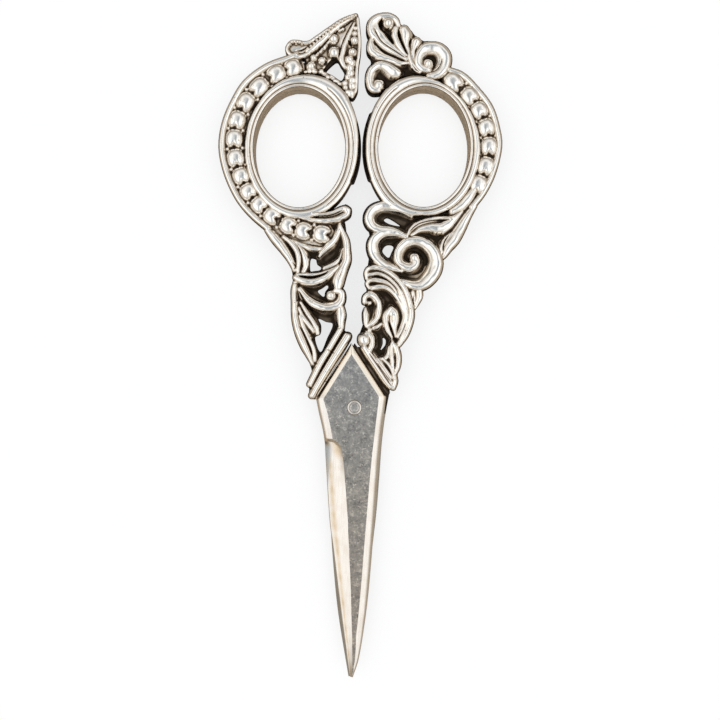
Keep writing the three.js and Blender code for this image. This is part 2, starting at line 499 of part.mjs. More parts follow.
// One blade, made as the upper one with its cutting edge on the side given by its own handle
function blade(own, far, ownFace, width) {
  const side = own.side;
  const across = (point) => side * (point.x - CENTRE_X);
  const tipY = -BLADE_LENGTH;
  const ownFoot = own.face(0, -COLLAR_GAP);
  const ownTop = own.face(ownFace.length, -COLLAR_GAP);
  const farFoot = far.face(0, -PASSING_GAP);
  const farUp = far.face(1, -PASSING_GAP);
  const edge = (points) => new THREE.SplineCurve(points.map(([x, y]) => new THREE.Vector2(x, y)));
  const cutEdge = edge([[across(ownFoot), ownFoot.y], [width.cutRoot, -ROOT_DROP], [width.cutBelly, -BELLY_DROP],
    [CUT_LOW, -LOW_DROP], [-TIP_OFFSET, tipY]]).getPoints(EDGE_STEPS);
  const spine = edge([[-SPINE_TOP, ownFoot.y], [-width.spineRoot, -ROOT_DROP], [-width.spineBelly, -BELLY_DROP],
    [-width.spineLow, -LOW_DROP], [-TIP_OFFSET - TIP_FLAT, tipY]]).getPoints(EDGE_STEPS);
  const at = (points, y) => {
    const k = Math.max(1, points.findIndex((point) => point.y <= y));
    const [upper, lower] = [points[k - 1], points[k]];
    return THREE.MathUtils.mapLinear(y, upper.y, lower.y, upper.x, lower.x);
  };
  const line = (a, b, y) => THREE.MathUtils.mapLinear(y, a.y, b.y, across(a), across(b));
  const ownGable = (y) => line(ownFoot, ownTop, y);
  const farGable = (y) => line(farFoot, farUp, y);
  const thickness = (y) => THREE.MathUtils.lerp(BLADE_THICKNESS, TIP_THICKNESS, Math.max(0, y / tipY));

  // The two gable lines meet at the apex, and the far one meets the spine at the shoulder
  const apexY = meeting((y) => ownGable(y) - farGable(y), ownFoot.y, BLADE_LENGTH);
  const shoulderY = meeting((y) => at(spine, y) - farGable(y), -ROOT_DROP, apexY);
  const hollowY = -ROOT_DROP - PLUNGE_LENGTH;
  const between = (a, b) => (a + b) / 2;
  const stations = [apexY - APEX_BLUNT, apexY - APEX_RIDGE, between(apexY, shoulderY), shoulderY, ownFoot.y,
    between(ownFoot.y, -ROOT_DROP), -ROOT_DROP, between(-ROOT_DROP, hollowY), hollowY,
    between(hollowY, -BELLY_DROP), -BELLY_DROP, between(-BELLY_DROP, -LOW_DROP), -LOW_DROP,
    between(-LOW_DROP, tipY), tipY].sort((a, b) => b - a);
  const rings = stations.map((y) => {
    const outer = y > ownFoot.y ? ownGable(y) : at(cutEdge, y);
    const inner = Math.max(at(spine, y), farGable(y));
    const top = thickness(y);
    const span = outer - inner;
    const ground = THREE.MathUtils.smoothstep(-y, ROOT_DROP, ROOT_DROP + PLUNGE_LENGTH);
    const bevel = Math.min(THREE.MathUtils.lerp(CHAMFER_WIDTH, HOLLOW_WIDTH, ground), span * BEVEL_SHARE);
    const chamfer = Math.min(CHAMFER_WIDTH, span * CHAMFER_SHARE);
    const fall = Math.min(CHAMFER_DROP, top / 2);
    const land = THREE.MathUtils.lerp(top - fall, EDGE_LAND, ground);
    const flat = y > apexY - APEX_RIDGE ? top - fall : top;
    const middle = (flat + land) / 2 - HOLLOW_SAG * ground;
    return [[outer, 0], [inner, 0], [inner, top - fall], [inner + chamfer, flat], [outer - bevel, flat],
      [outer - bevel / 2, middle], [outer, land]].map(([x, z]) => new THREE.Vector3(CENTRE_X + side * x, y, z));
  });
  return side > 0 ? rings : rings.map(([first, ...rest]) => [first, ...rest.reverse()]);
}

// Where a function of y falls through zero, found by halving
function meeting(gap, low, high) {
  let [a, b] = [low, high];
  while (b - a > MEETING_TOLERANCE) {
    const middle = (a + b) / 2;
    if (gap(middle) > 0) a = middle;
    else b = middle;
  }
  return (a + b) / 2;
}

// A blade with its tang and its rivet hole, at its own height
function finishedBlade(own, far, ownFace, width, flip) {
  const body = solid(skin(blade(own, far, ownFace, width)));
  const half = TANG_THICKNESS / 2;
  const root = faceBox(own, ownFace.tang, TANG_WIDTH, -TANG_ROOT, TANG_DEPTH, SHEAR_GAP / 2 + TANG_STEP, half);
  const tang = faceBox(own, ownFace.tang, TANG_WIDTH, COLLAR_GAP, TANG_DEPTH, -half, half);
  const raised = solid(geometryOf(body).translate(0, 0, SHEAR_GAP / 2));
  const whole = geometryOf(raised.add(root).add(tang));
  if (flip) {
    whole.scale(1, 1, -1);
    whole.setIndex(Array.from(whole.index.array).reverse());
  }
  whole.translate(0, 0, shearZ);
  return geometryOf(solid(whole).subtract(solid(rivetProfile(RIVET_CLEARANCE, BLADE_THICKNESS))));
}

// Finishes
const silver = () => new THREE.MeshStandardMaterial({ color: 0xd8d2c6, roughness: 0.3, metalness: 1 });
const steel = () => new THREE.MeshStandardMaterial({ color: 0x9a9c9f, roughness: 0.4, metalness: 1 });
const resin = () => new THREE.MeshStandardMaterial({ color: 0x4a3524, roughness: 0.8, metalness: 0 });

const FRONT_DETAIL = { turn: 36, beadSides: 8, beadRings: 5, ringSteps: 32 };
const BACK_DETAIL = { turn: 56, beadSides: 6, beadRings: 4, ringSteps: 26 };
const leftShells = shells(left, leftFace, LEFT_PATTERN, FRONT_DETAIL, BACK_DETAIL);
const rightShells = shells(right, rightFace, RIGHT_PATTERN, FRONT_DETAIL, BACK_DETAIL);

const frontWidth = {
  cutRoot: CUT_ROOT, cutBelly: CUT_BELLY, spineRoot: SPINE_ROOT, spineBelly: SPINE_BELLY, spineLow: SPINE_LOW,
};
const rearWidth = {
  cutRoot: REAR_CUT_ROOT, cutBelly: REAR_CUT_BELLY, spineRoot: REAR_SPINE_ROOT, spineBelly: REAR_SPINE_BELLY,
  spineLow: REAR_SPINE_LOW,
};

const scissors = new THREE.Group();
const pieces = [
  ['front_blade', finishedBlade(left, right, leftFace, frontWidth, false), steel()],
  ['rear_blade', finishedBlade(right, left, rightFace, rearWidth, true), steel()],
  ['pivot_rivet', geometryOf(solid(rivetProfile(0, 0))), steel()],
  ['left_handle_front_shell', leftShells.front, silver()],
  ['left_handle_back_shell', leftShells.back, silver()],
  ['right_handle_front_shell', rightShells.front, silver()],
  ['right_handle_back_shell', rightShells.back, silver()],
  ['left_tang_cement', cement(left, leftFace), resin()],
  ['right_tang_cement', cement(right, rightFace), resin()],
];
for (const [name, geometry, material] of pieces) {
  const mesh = new THREE.Mesh(geometry, material);
  mesh.name = name;
  scissors.add(mesh);
}

export default scissors;
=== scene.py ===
# %% [markdown]
# Embroidery scissors, dressed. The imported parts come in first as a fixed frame: two steel blades on a
# flush rivet, and two handles of struck silver, each made of a front and a back shell. Everything below
# is built in the same frame, so nothing needs fitting afterwards. Sizes are written in millimetres, and
# MM turns them into Blender's metres.

# %% Load the frame
import math

import bpy
import numpy as np
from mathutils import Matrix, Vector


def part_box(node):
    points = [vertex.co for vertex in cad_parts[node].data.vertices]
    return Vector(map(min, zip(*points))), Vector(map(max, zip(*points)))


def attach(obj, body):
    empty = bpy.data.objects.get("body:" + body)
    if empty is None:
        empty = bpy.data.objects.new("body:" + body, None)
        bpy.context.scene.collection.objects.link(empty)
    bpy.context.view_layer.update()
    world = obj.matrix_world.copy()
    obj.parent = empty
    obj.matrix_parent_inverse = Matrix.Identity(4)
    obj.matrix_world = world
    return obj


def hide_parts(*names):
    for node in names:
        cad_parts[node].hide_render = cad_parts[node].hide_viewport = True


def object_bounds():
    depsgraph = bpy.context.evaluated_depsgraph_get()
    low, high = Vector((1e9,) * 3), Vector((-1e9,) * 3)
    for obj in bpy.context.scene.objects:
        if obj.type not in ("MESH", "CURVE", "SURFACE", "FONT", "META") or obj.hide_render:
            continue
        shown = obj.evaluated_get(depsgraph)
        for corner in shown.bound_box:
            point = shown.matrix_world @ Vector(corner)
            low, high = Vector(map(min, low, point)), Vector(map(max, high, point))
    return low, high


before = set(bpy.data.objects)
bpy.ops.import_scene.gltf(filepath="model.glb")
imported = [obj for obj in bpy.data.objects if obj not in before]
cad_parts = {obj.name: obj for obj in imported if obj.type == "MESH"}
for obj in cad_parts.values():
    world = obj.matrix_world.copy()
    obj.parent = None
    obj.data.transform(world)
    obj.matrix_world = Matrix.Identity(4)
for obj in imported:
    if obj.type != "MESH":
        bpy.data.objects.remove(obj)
cad_box = [list(corner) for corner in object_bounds()]
MM = 0.001
seam = (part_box("left_handle_front_shell")[0].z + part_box("left_handle_back_shell")[1].z) / 2 / MM
print("nodes", sorted(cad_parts), "and the seam at", round(seam, 3), "mm")

# %% [markdown]
# The scissors lie flat and are seen from straight above, close enough that the perspective shows the
# inner walls of the rings. A camera 150 mm above the plane where the blades meet gives the same look,
# and its lens follows from the width of the picture at that plane.

# %% Camera
CAMERA_HEIGHT = 150.0
PICTURE_WIDTH = 123.8
CAMERA_AT = (0.78, 8.10)
CAMERA_TURN = 1.2
SENSOR_WIDTH = 36.0
CLIP_NEAR = 5.0
CLIP_FAR = 10000.0
lens_data = bpy.data.cameras.new("camera")
lens_data.sensor_width = SENSOR_WIDTH
lens_data.lens = SENSOR_WIDTH * CAMERA_HEIGHT / PICTURE_WIDTH
lens_data.clip_start = CLIP_NEAR * MM
lens_data.clip_end = CLIP_FAR * MM
camera = bpy.data.objects.new("camera", lens_data)
camera.location = (CAMERA_AT[0] * MM, CAMERA_AT[1] * MM, (seam + CAMERA_HEIGHT) * MM)
camera.rotation_euler = (0.0, 0.0, math.radians(CAMERA_TURN))
bpy.context.scene.collection.objects.link(camera)
bpy.context.scene.camera = camera
bpy.context.scene.view_settings.view_transform = "Standard"
print("lens", round(lens_data.lens, 2), "mm")

# %% [markdown]
# The sky and every finish are made of shader nodes. Placing the nodes first and wiring them afterwards
# takes two long lists that are hard to read together. These helpers do both at once: a number given to
# a socket is set on it, and another node's output is linked to it.

# %% Node helpers
def node_tree(owner):
    """An empty node tree for a material or the world."""
    owner.use_nodes = True
    owner.node_tree.nodes.clear()
    return owner.node_tree


def feed(tree, socket, value):
    """Sets a value on a socket, or links it where the value is another node's output."""
    if isinstance(value, bpy.types.NodeSocket):
        tree.links.new(value, socket)
    else:
        socket.default_value = value


def add_node(tree, kind, *values, operation=None, **sockets):
    """A new node with its sockets fed in order or by name; underscores stand for spaces."""
    node = tree.nodes.new("ShaderNode" + kind)
    if operation:
        node.operation = operation
    for socket, value in zip(node.inputs, values):
        feed(tree, socket, value)
    for name, value in sockets.items():
        feed(tree, node.inputs[name.replace("_", " ")], value)
    return node


def figure(tree, operation, *values):
    """The result of one sum."""
    return add_node(tree, "Math", *values, operation=operation).outputs[0]


def remap(tree, value, low, high, new_low=0.0, new_high=1.0):
    """A number moved from one range to another and held inside it."""
    return add_node(tree, "MapRange", value, low, high, new_low, new_high).outputs["Result"]


def colour_ramp(tree, value, stops):
    """The colour at a place between stops, each a (place, colour)."""
    node = add_node(tree, "ValToRGB", value)
    ramp = node.color_ramp
    ramp.elements.remove(ramp.elements[-1])
    ramp.elements[0].position = stops[0][0]
    ramp.elements[0].color = (*stops[0][1], 1.0)
    for place, colour in stops[1:]:
        ramp.elements.new(place).color = (*colour, 1.0)
    return node.outputs["Color"]


def colour_mix(tree, share, first, second):
    """Two colours mixed by a share."""
    node = add_node(tree, "Mix")
    node.data_type = "RGBA"
    for name, value in (("Factor", share), ("A", first), ("B", second)):
        feed(tree, node.inputs[name], value)
    return node.outputs["Result"]


def multiplied(tree, first, second):
    """Two colours multiplied."""
    return add_node(tree, "VectorMath", first, second, operation="MULTIPLY").outputs["Vector"]


def noise(tree, place, scale, **details):
    """Cloudy noise, from 0 to 1."""
    return add_node(tree, "TexNoise", Vector=place, Scale=scale, **details).outputs["Fac"]


def stored(tree, name):
    """The number that a mesh stores at each point under a name."""
    node = add_node(tree, "Attribute")
    node.attribute_name = name
    return node.outputs["Fac"]


print("node helpers ready")

# %% [markdown]
# Polished silver shows what is round it, so the room matters as much as the metal. The sky here is a
# white dome, warmer and darker near the horizon, dimmer on the far side and faintly dappled, with a dim
# bluish patch overhead where a photographer leans in. That patch draws the grey streaks on the beads and
# darkens the flat of the blade. Seen by the camera itself the sky is plain white.

# %% Sky
WHITE = (1.0, 1.0, 1.0)
SKY_STOPS = [
    (0.00, (0.44, 0.37, 0.29)),
    (0.20, (0.57, 0.50, 0.42)),
    (0.42, (0.92, 0.87, 0.80)),
    (0.60, (1.27, 1.24, 1.20)),
    (1.00, (1.40, 1.40, 1.40)),
]
# The patch fades out between two distances from its middle, across and along the scissors
PATCH_STOPS = [(0.0, (0.30, 0.335, 0.37)), (1.0, WHITE)]
PATCH_ACROSS = (0.04, 0.31)
PATCH_ALONG = (0.5, 0.8)
PATCH_SHIFT = 0.2
# From and to on the sky, then the light left there
FAR_SIDE = (0.05, 0.9, 1.0, 0.6)
DAPPLE_SCALE = 2.6
DAPPLE = (0.34, 0.46, 0.62, 1.0)
world = bpy.data.worlds.new("studio")
bpy.context.scene.world = world
tree = node_tree(world)
direction = add_node(tree, "TexCoord").outputs["Generated"]
axes = add_node(tree, "SeparateXYZ", direction).outputs
across_patch = figure(tree, "ABSOLUTE", axes["X"])
along_patch = figure(tree, "ABSOLUTE", figure(tree, "ADD", axes["Y"], PATCH_SHIFT))
past_sides = remap(tree, across_patch, *PATCH_ACROSS)
past_ends = remap(tree, along_patch, *PATCH_ALONG)
clear = figure(tree, "MAXIMUM", past_sides, past_ends)
dome = multiplied(tree, colour_ramp(tree, axes["Z"], SKY_STOPS), colour_ramp(tree, clear, PATCH_STOPS))
dapple = remap(tree, noise(tree, direction, DAPPLE_SCALE, Detail=1.0), *DAPPLE)
level = figure(tree, "MULTIPLY", remap(tree, axes["Y"], *FAR_SIDE), dapple)
lit_dome = add_node(tree, "VectorMath", dome, Scale=level, operation="SCALE").outputs["Vector"]
light = add_node(tree, "Background", lit_dome).outputs[0]
backdrop = add_node(tree, "Background", (*WHITE, 1.0)).outputs[0]
seen = add_node(tree, "LightPath").outputs["Is Camera Ray"]
add_node(tree, "OutputWorld", add_node(tree, "MixShader", seen, light, backdrop).outputs[0])
print("sky with", len(SKY_STOPS), "stops")

# %% [markdown]
# The floor is a sheet of white paper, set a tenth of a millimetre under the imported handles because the
# struck crests stand a little prouder. Most of what the camera sees of it glows at the paper's own white,
# and the rest takes the light of the room, so the soft shadow of the scissors stays. In the metal's
# reflections the sheet is darker and warmer, which gives the strands their tan edges.

# %% Floor
FLOOR_HALF = 1500.0
FLOOR_DROP = 0.1
GLOW_SHARE = 0.70
GLOW = 1.09
PAPER_COLOUR = (0.90, 0.92, 0.95, 1.0)
MIRRORED_COLOUR = (0.54, 0.475, 0.39, 1.0)
floor_z = cad_box[0][2] - FLOOR_DROP * MM
reach = FLOOR_HALF * MM
floor_corners = [(x * reach, y * reach, floor_z) for x, y in ((-1, -1), (1, -1), (1, 1), (-1, 1))]
floor_mesh = bpy.data.meshes.new("floor")
floor_mesh.from_pydata(floor_corners, [], [(0, 1, 2, 3)])
floor = bpy.data.objects.new("floor", floor_mesh)
bpy.context.scene.collection.objects.link(floor)
paper = bpy.data.materials.new("paper")
tree = node_tree(paper)
rays = add_node(tree, "LightPath").outputs
shade = colour_mix(tree, rays["Is Glossy Ray"], PAPER_COLOUR, MIRRORED_COLOUR)
matt = add_node(tree, "BsdfDiffuse", shade).outputs[0]
glow = add_node(tree, "Emission", Strength=GLOW).outputs[0]
share = figure(tree, "MULTIPLY", rays["Is Camera Ray"], GLOW_SHARE)
add_node(tree, "OutputMaterial", add_node(tree, "MixShader", share, matt, glow).outputs[0])
floor_mesh.materials.append(paper)
print("floor at", round(floor_z / MM, 3), "mm")

# %% [markdown]
# Antique silver is bright only where hands and polishing cloths reach. A brown-black oxide stays in the
# grooves and on the sunk ground, and the sides go tan between the two. The relief below measures how
# sheltered each point is and stores it as a number, from 0 on the crowns to 1 in the cuts; along the
# outline and on the shells' sides that number also carries painted shade. So this finish only has to
# turn that number into colour and roughness, with some pits and cloudy patches.

# %% Silver
SILVER_STOPS = [
    (0.00, (0.93, 0.91, 0.87)),
    (0.22, (0.81, 0.735, 0.64)),
    (0.45, (0.46, 0.37, 0.275)),
    (0.70, (0.125, 0.094, 0.066)),
    (1.00, (0.026, 0.019, 0.013)),
]
# Scales count blotches to the metre, about; ranges give from and to, then what they become
CLOUD_SCALE = 900.0
CLOUD_TARNISH = (0.35, 0.75, -0.04, 0.07)
PIT_SCALE = 2600.0
PIT_TARNISH = (0.72, 0.77, 0.0, 0.5)
HAIR_SCALE = 5200.0
HAIR_BUMP = 0.03
BUMP_DEPTH = 0.03
SILVER_ROUGHNESS = (0.0, 1.0, 0.16, 0.55)


def antique_silver():
    finish = bpy.data.materials.new("antique_silver")
    tree = node_tree(finish)
    place = add_node(tree, "TexCoord").outputs["Object"]
    cloud = remap(tree, noise(tree, place, CLOUD_SCALE, Detail=4.0), *CLOUD_TARNISH)
    pit = remap(tree, noise(tree, place, PIT_SCALE, Detail=1.0), *PIT_TARNISH)
    # Tarnish from the relief, which also holds painted shade on the sides and outline, plus cloudy patches
    # and pits
    tarnish = figure(tree, "ADD", figure(tree, "ADD", stored(tree, "tarnish"), cloud), pit)
    tarnish.node.use_clamp = True
    hair = noise(tree, place, HAIR_SCALE, Detail=2.0)
    bump = add_node(tree, "Bump", Strength=HAIR_BUMP, Distance=BUMP_DEPTH * MM, Height=hair)
    metal = add_node(
        tree, "BsdfPrincipled", colour_ramp(tree, tarnish, SILVER_STOPS), Metallic=1.0,
        Roughness=remap(tree, tarnish, *SILVER_ROUGHNESS), Normal=bump.outputs["Normal"],
    )
    add_node(tree, "OutputMaterial", metal.outputs[0])
    return finish


silver = antique_silver()
print("made", silver.name)

# %% [markdown]
# The handles were struck from sheet in dies. A die maker cuts each scroll as a rounded channel and then
# chases fine lines between them, and this file does the same: it draws every strand, bead and line on
# a fine grid of heights above the seam, then turns the grid into a mesh. A grid keeps crossing
# scrolls and sharp creases clean, where joining hundreds of tubes would leave hidden faces inside.

# %% Curves and averages
CURVE_STEP = 0.18
PASSES = 3


def smooth(points, closed=False):
    """A soft curve through given points, sampled about every CURVE_STEP."""
    p = np.array(points, float)
    if closed:
        p = np.vstack([p[-1], p, p[:2]])
    else:
        p = np.vstack([2 * p[0] - p[1], p, 2 * p[-1] - p[-2]])
    gap = np.sqrt(np.maximum(np.hypot(*np.diff(p[:, :2], axis=0).T), 1e-6))
    knot = np.concatenate([[0.0], np.cumsum(gap)])
    out = []
    for k in range(1, len(p) - 2):
        span = knot[k + 1] - knot[k]
        lead = (p[k + 1] - p[k - 1]) / (knot[k + 1] - knot[k - 1]) * span
        trail = (p[k + 2] - p[k]) / (knot[k + 2] - knot[k]) * span
        steps = max(2, int(span ** 2 / CURVE_STEP))
        u = np.arange(steps)[:, None] / steps
        out.append((2 * u ** 3 - 3 * u ** 2 + 1) * p[k] + (u ** 3 - 2 * u ** 2 + u) * lead
                   + (3 * u ** 2 - 2 * u ** 3) * p[k + 1] + (u ** 3 - u ** 2) * trail)
    if not closed:
        out.append(p[-2:-1])
    return np.vstack(out)


def running_mean(grid, half, axis):
    """Average over half a window to either side along one axis."""
    pad = [(half + 1, half) if k == axis else (0, 0) for k in (0, 1)]
    run = np.cumsum(np.pad(grid, pad), axis=axis)
    count = grid.shape[axis]
    upper = np.take(run, np.arange(2 * half + 1, 2 * half + 1 + count), axis=axis)
    lower = np.take(run, np.arange(count), axis=axis)
    return (upper - lower) / (2 * half + 1)


def soften(field, mask, reach, pitch):
    """Average of a grid over its neighbours inside the mask, by a few running means."""
    half = max(1, int(round(reach / pitch)))
    total, weight = field * mask, mask.astype(float)
    for _ in range(PASSES):
        for axis in (0, 1):
            total, weight = (running_mean(grid, half, axis) for grid in (total, weight))
    return total / np.maximum(weight, 1e-9)


def step(low, high, value):
    """Soft step from 0 at low to 1 at high."""
    t = np.clip((value - low) / (high - low), 0, 1)
    return t * t * (3 - 2 * t)


print("a curve through 3 points has", len(smooth([(0, 0), (1, 1), (2, 0)])), "samples")

# %% [markdown]
# The relief itself is one object with a method for each tool of the die maker: a strand is a rounded
# channel, a boss a round punch, a field a flat raised patch, a line a thin graver's cut, the ground a
# sunk flat and a piercing a sawn opening. Where shapes cross, the higher one wins, as it does in a die.
# Two methods are the metal's own: it bridges narrow slits, and hand finishing leaves slow waves in it.

# %% Relief
RING_OPEN = (15.6, 20.4)
GROUND = 1.0
SIDE = 1.6
FULLNESS = 2.4
SKIRT = 0.8
SLIT = 0.2
SLIT_DEPTH = 0.32
WAVES = 9
WAVE_SLOPE = 0.035
WAVE_TURN = 2.4
WAVE_PHASE = 1.7
SHORTEST_WAVE = 1.1
LONGER_EACH = 0.4
SQUARENESS = 2.3
NOTCH_ANGLE = 0.36
FADE_SAMPLES = 4.0
FADE_LEAST = 0.1
# Depths that stand for far outside, heights for above everything, and spare cells round a shape
OUTSIDE = -5.0
ABOVE_ALL = 9.0
FAR_AWAY = 99.0
SPARE_CELLS = 3
SPARE_OUTLINE_CELLS = 6


class Relief:
    """Heights above the seam and depth inside the outline, on a square grid, in millimetres."""

    def __init__(self, low, high, pitch):
        self.pitch = pitch
        self.low = np.array(low, float)
        size = np.ceil((np.array(high) - self.low) / pitch).astype(int) + 1
        columns, rows = (low[k] + pitch * np.arange(size[k]) for k in (0, 1))
        self.x, self.y = np.meshgrid(columns, rows)
        self.height = np.full(self.x.shape, GROUND)
        self.inside = np.full(self.x.shape, OUTSIDE)
        self.cut = np.zeros(self.x.shape)
        self.hole = np.full(self.x.shape, OUTSIDE)

    def area(self, points, reach):
        """The patch of grid within reach of some points."""
        corner = np.floor((points.min(0) - reach - self.low) / self.pitch).astype(int)
        end = np.ceil((points.max(0) + reach - self.low) / self.pitch).astype(int) + 1
        corner, end = np.maximum(corner, 0), np.maximum(end, 0)
        return slice(corner[1], end[1]), slice(corner[0], end[0])

    def spans(self, path, beyond=0.0):
        """Each short span of a path: its patch, the distance from it, the side of it and the half width."""
        for a, b in zip(path[:-1], path[1:]):
            reach = max(a[2], b[2]) + beyond + SPARE_CELLS * self.pitch
            area = self.area(np.array([a[:2], b[:2]]), reach)
            dx, dy = self.x[area] - a[0], self.y[area] - a[1]
            ex, ey = b[0] - a[0], b[1] - a[1]
            u = np.clip((dx * ex + dy * ey) / max(ex * ex + ey * ey, 1e-12), 0, 1)
            away = np.hypot(dx - u * ex, dy - u * ey)
            yield area, away, np.sign(ex * dy - ey * dx), a[2] + u * (b[2] - a[2])

    def raise_to(self, area, z, depth):
        """Keeps the higher of what is there and a new shape, and widens the outline to take it."""
        self.height[area] = np.maximum(self.height[area], np.where(depth > 0, z, 0))
        self.inside[area] = np.maximum(self.inside[area], depth)

    def strand(self, crest, lean, points, foot=SIDE, spread=SKIRT):
        """A rounded strand with a soft skirt; its crest can lean to the left (plus) or right."""
        path = smooth(points)
        widest = path[:, 2].max()
        for area, away, side, half in self.spans(path, spread):
            t = np.clip(side * away / half, -1, 1)
            t = np.where(t > lean, (t - lean) / (1 - lean), (t - lean) / (1 + lean))
            rise = (crest - foot) * np.sqrt(half / widest)
            skirt = GROUND + (foot - GROUND) * np.clip(1 - (away - half) / spread, 0, 1) ** 2
            self.height[area] = np.maximum(self.height[area], np.where(away > half, skirt, GROUND))
            self.raise_to(area, foot + rise * (1 - np.abs(t) ** FULLNESS), half - away)

    def boss(self, x, y, radius, crest, foot=SIDE, longer=1.0, along=0.0, notch=0.0, fullness=FULLNESS):
        """A round punch mark; along one direction it can be longer and end in a notch, like a heart."""
        area = self.area(np.array([(x, y)]), radius * max(longer, 1) + SPARE_CELLS * self.pitch)
        dx, dy = self.x[area] - x, self.y[area] - y
        a = (dx * math.cos(along) + dy * math.sin(along)) / longer
        c = dy * math.cos(along) - dx * math.sin(along)
        reach = radius * (1 - notch * np.exp(-(np.arctan2(c, a) / NOTCH_ANGLE) ** 2))
        t = (np.abs(a) ** SQUARENESS + np.abs(c) ** SQUARENESS) ** (1 / SQUARENESS) / reach
        self.raise_to(area, foot + (crest - foot) * (1 - np.clip(t, 0, 1) ** fullness), radius * (1 - t))

    def field(self, level, points):
        """A raised field with a flat top."""
        area, depth = self.polygon(points)
        self.raise_to(area, level, depth)

    def bridge(self):
        """Sheet metal cannot sink far into a slit, so narrow slits end at a limited depth."""
        mask = self.inside > 0
        reach = int(round(SLIT / self.pitch))
        closed = np.where(mask, self.height, 0.0)
        for pick, fill in ((np.maximum, 0.0), (np.minimum, ABOVE_ALL)):
            closed = np.where(mask, closed, fill)
            for axis in (0, 1):
                start = closed.copy()
                for shift in range(-reach, reach + 1):
                    closed = pick(closed, np.roll(start, shift, axis))
        self.height = np.where(mask, np.maximum(self.height, closed - SLIT_DEPTH), self.height)

    def hammer(self):
        """Slow waves in many directions, the marks of hand finishing."""
        waves = np.zeros(self.x.shape)
        for k in range(WAVES):
            turn = WAVE_TURN * k
            length = SHORTEST_WAVE + LONGER_EACH * k
            along = self.x * math.cos(turn) + self.y * math.sin(turn)
            swing = np.sin(2 * math.pi * along / length + WAVE_PHASE * k)
            waves += WAVE_SLOPE * length / (2 * math.pi) * swing
        self.height += waves

    def plate(self, half, points):
        """Flat ground along a curve."""
        for area, away, _, width in self.spans(smooth([(*p[:2], half) for p in points])):
            self.inside[area] = np.maximum(self.inside[area], width - away)

    def line(self, half, depth, points):
        """A chased line, cut with a rounded tool and fading out at both ends."""
        path = smooth([(*p, half) for p in points])
        along = np.arange(len(path))
        path[:, 2] *= np.sqrt(np.clip(np.minimum(along, along[::-1]) / FADE_SAMPLES, FADE_LEAST, 1))
        for area, away, _, width in self.spans(path):
            self.cut[area] = np.maximum(self.cut[area], depth * np.clip(1 - (away / width) ** 2, 0, 1))

    def polygon(self, points):
        """Distance inside a closed curve, on the patch of grid round it."""
        path = smooth(points, closed=True)
        area = self.area(path, SPARE_OUTLINE_CELLS * self.pitch)
        x, y = self.x[area], self.y[area]
        away = np.full(x.shape, FAR_AWAY)
        within = np.zeros(x.shape, bool)
        for a, b in zip(path, np.roll(path, -1, axis=0)):
            ex, ey = b - a
            u = np.clip(((x - a[0]) * ex + (y - a[1]) * ey) / max(ex * ex + ey * ey, 1e-12), 0, 1)
            away = np.minimum(away, np.hypot(x - a[0] - u * ex, y - a[1] - u * ey))
            if a[1] != b[1]:
                crosses = (y > a[1]) != (y > b[1])
                within ^= crosses & (x < a[0] + (y - a[1]) / (b[1] - a[1]) * ex)
        return area, np.where(within, away, -away)

    def ground(self, points):
        """Sunk ground inside an outline."""
        area, depth = self.polygon(points)
        self.inside[area] = np.maximum(self.inside[area], depth)

    def pierce(self, points):
        """A sawn opening inside an outline."""
        area, depth = self.polygon(points)
        self.hole[area] = np.maximum(self.hole[area], depth)


print("sunk ground at", GROUND, "mm and strands from", SIDE, "mm above the seam")
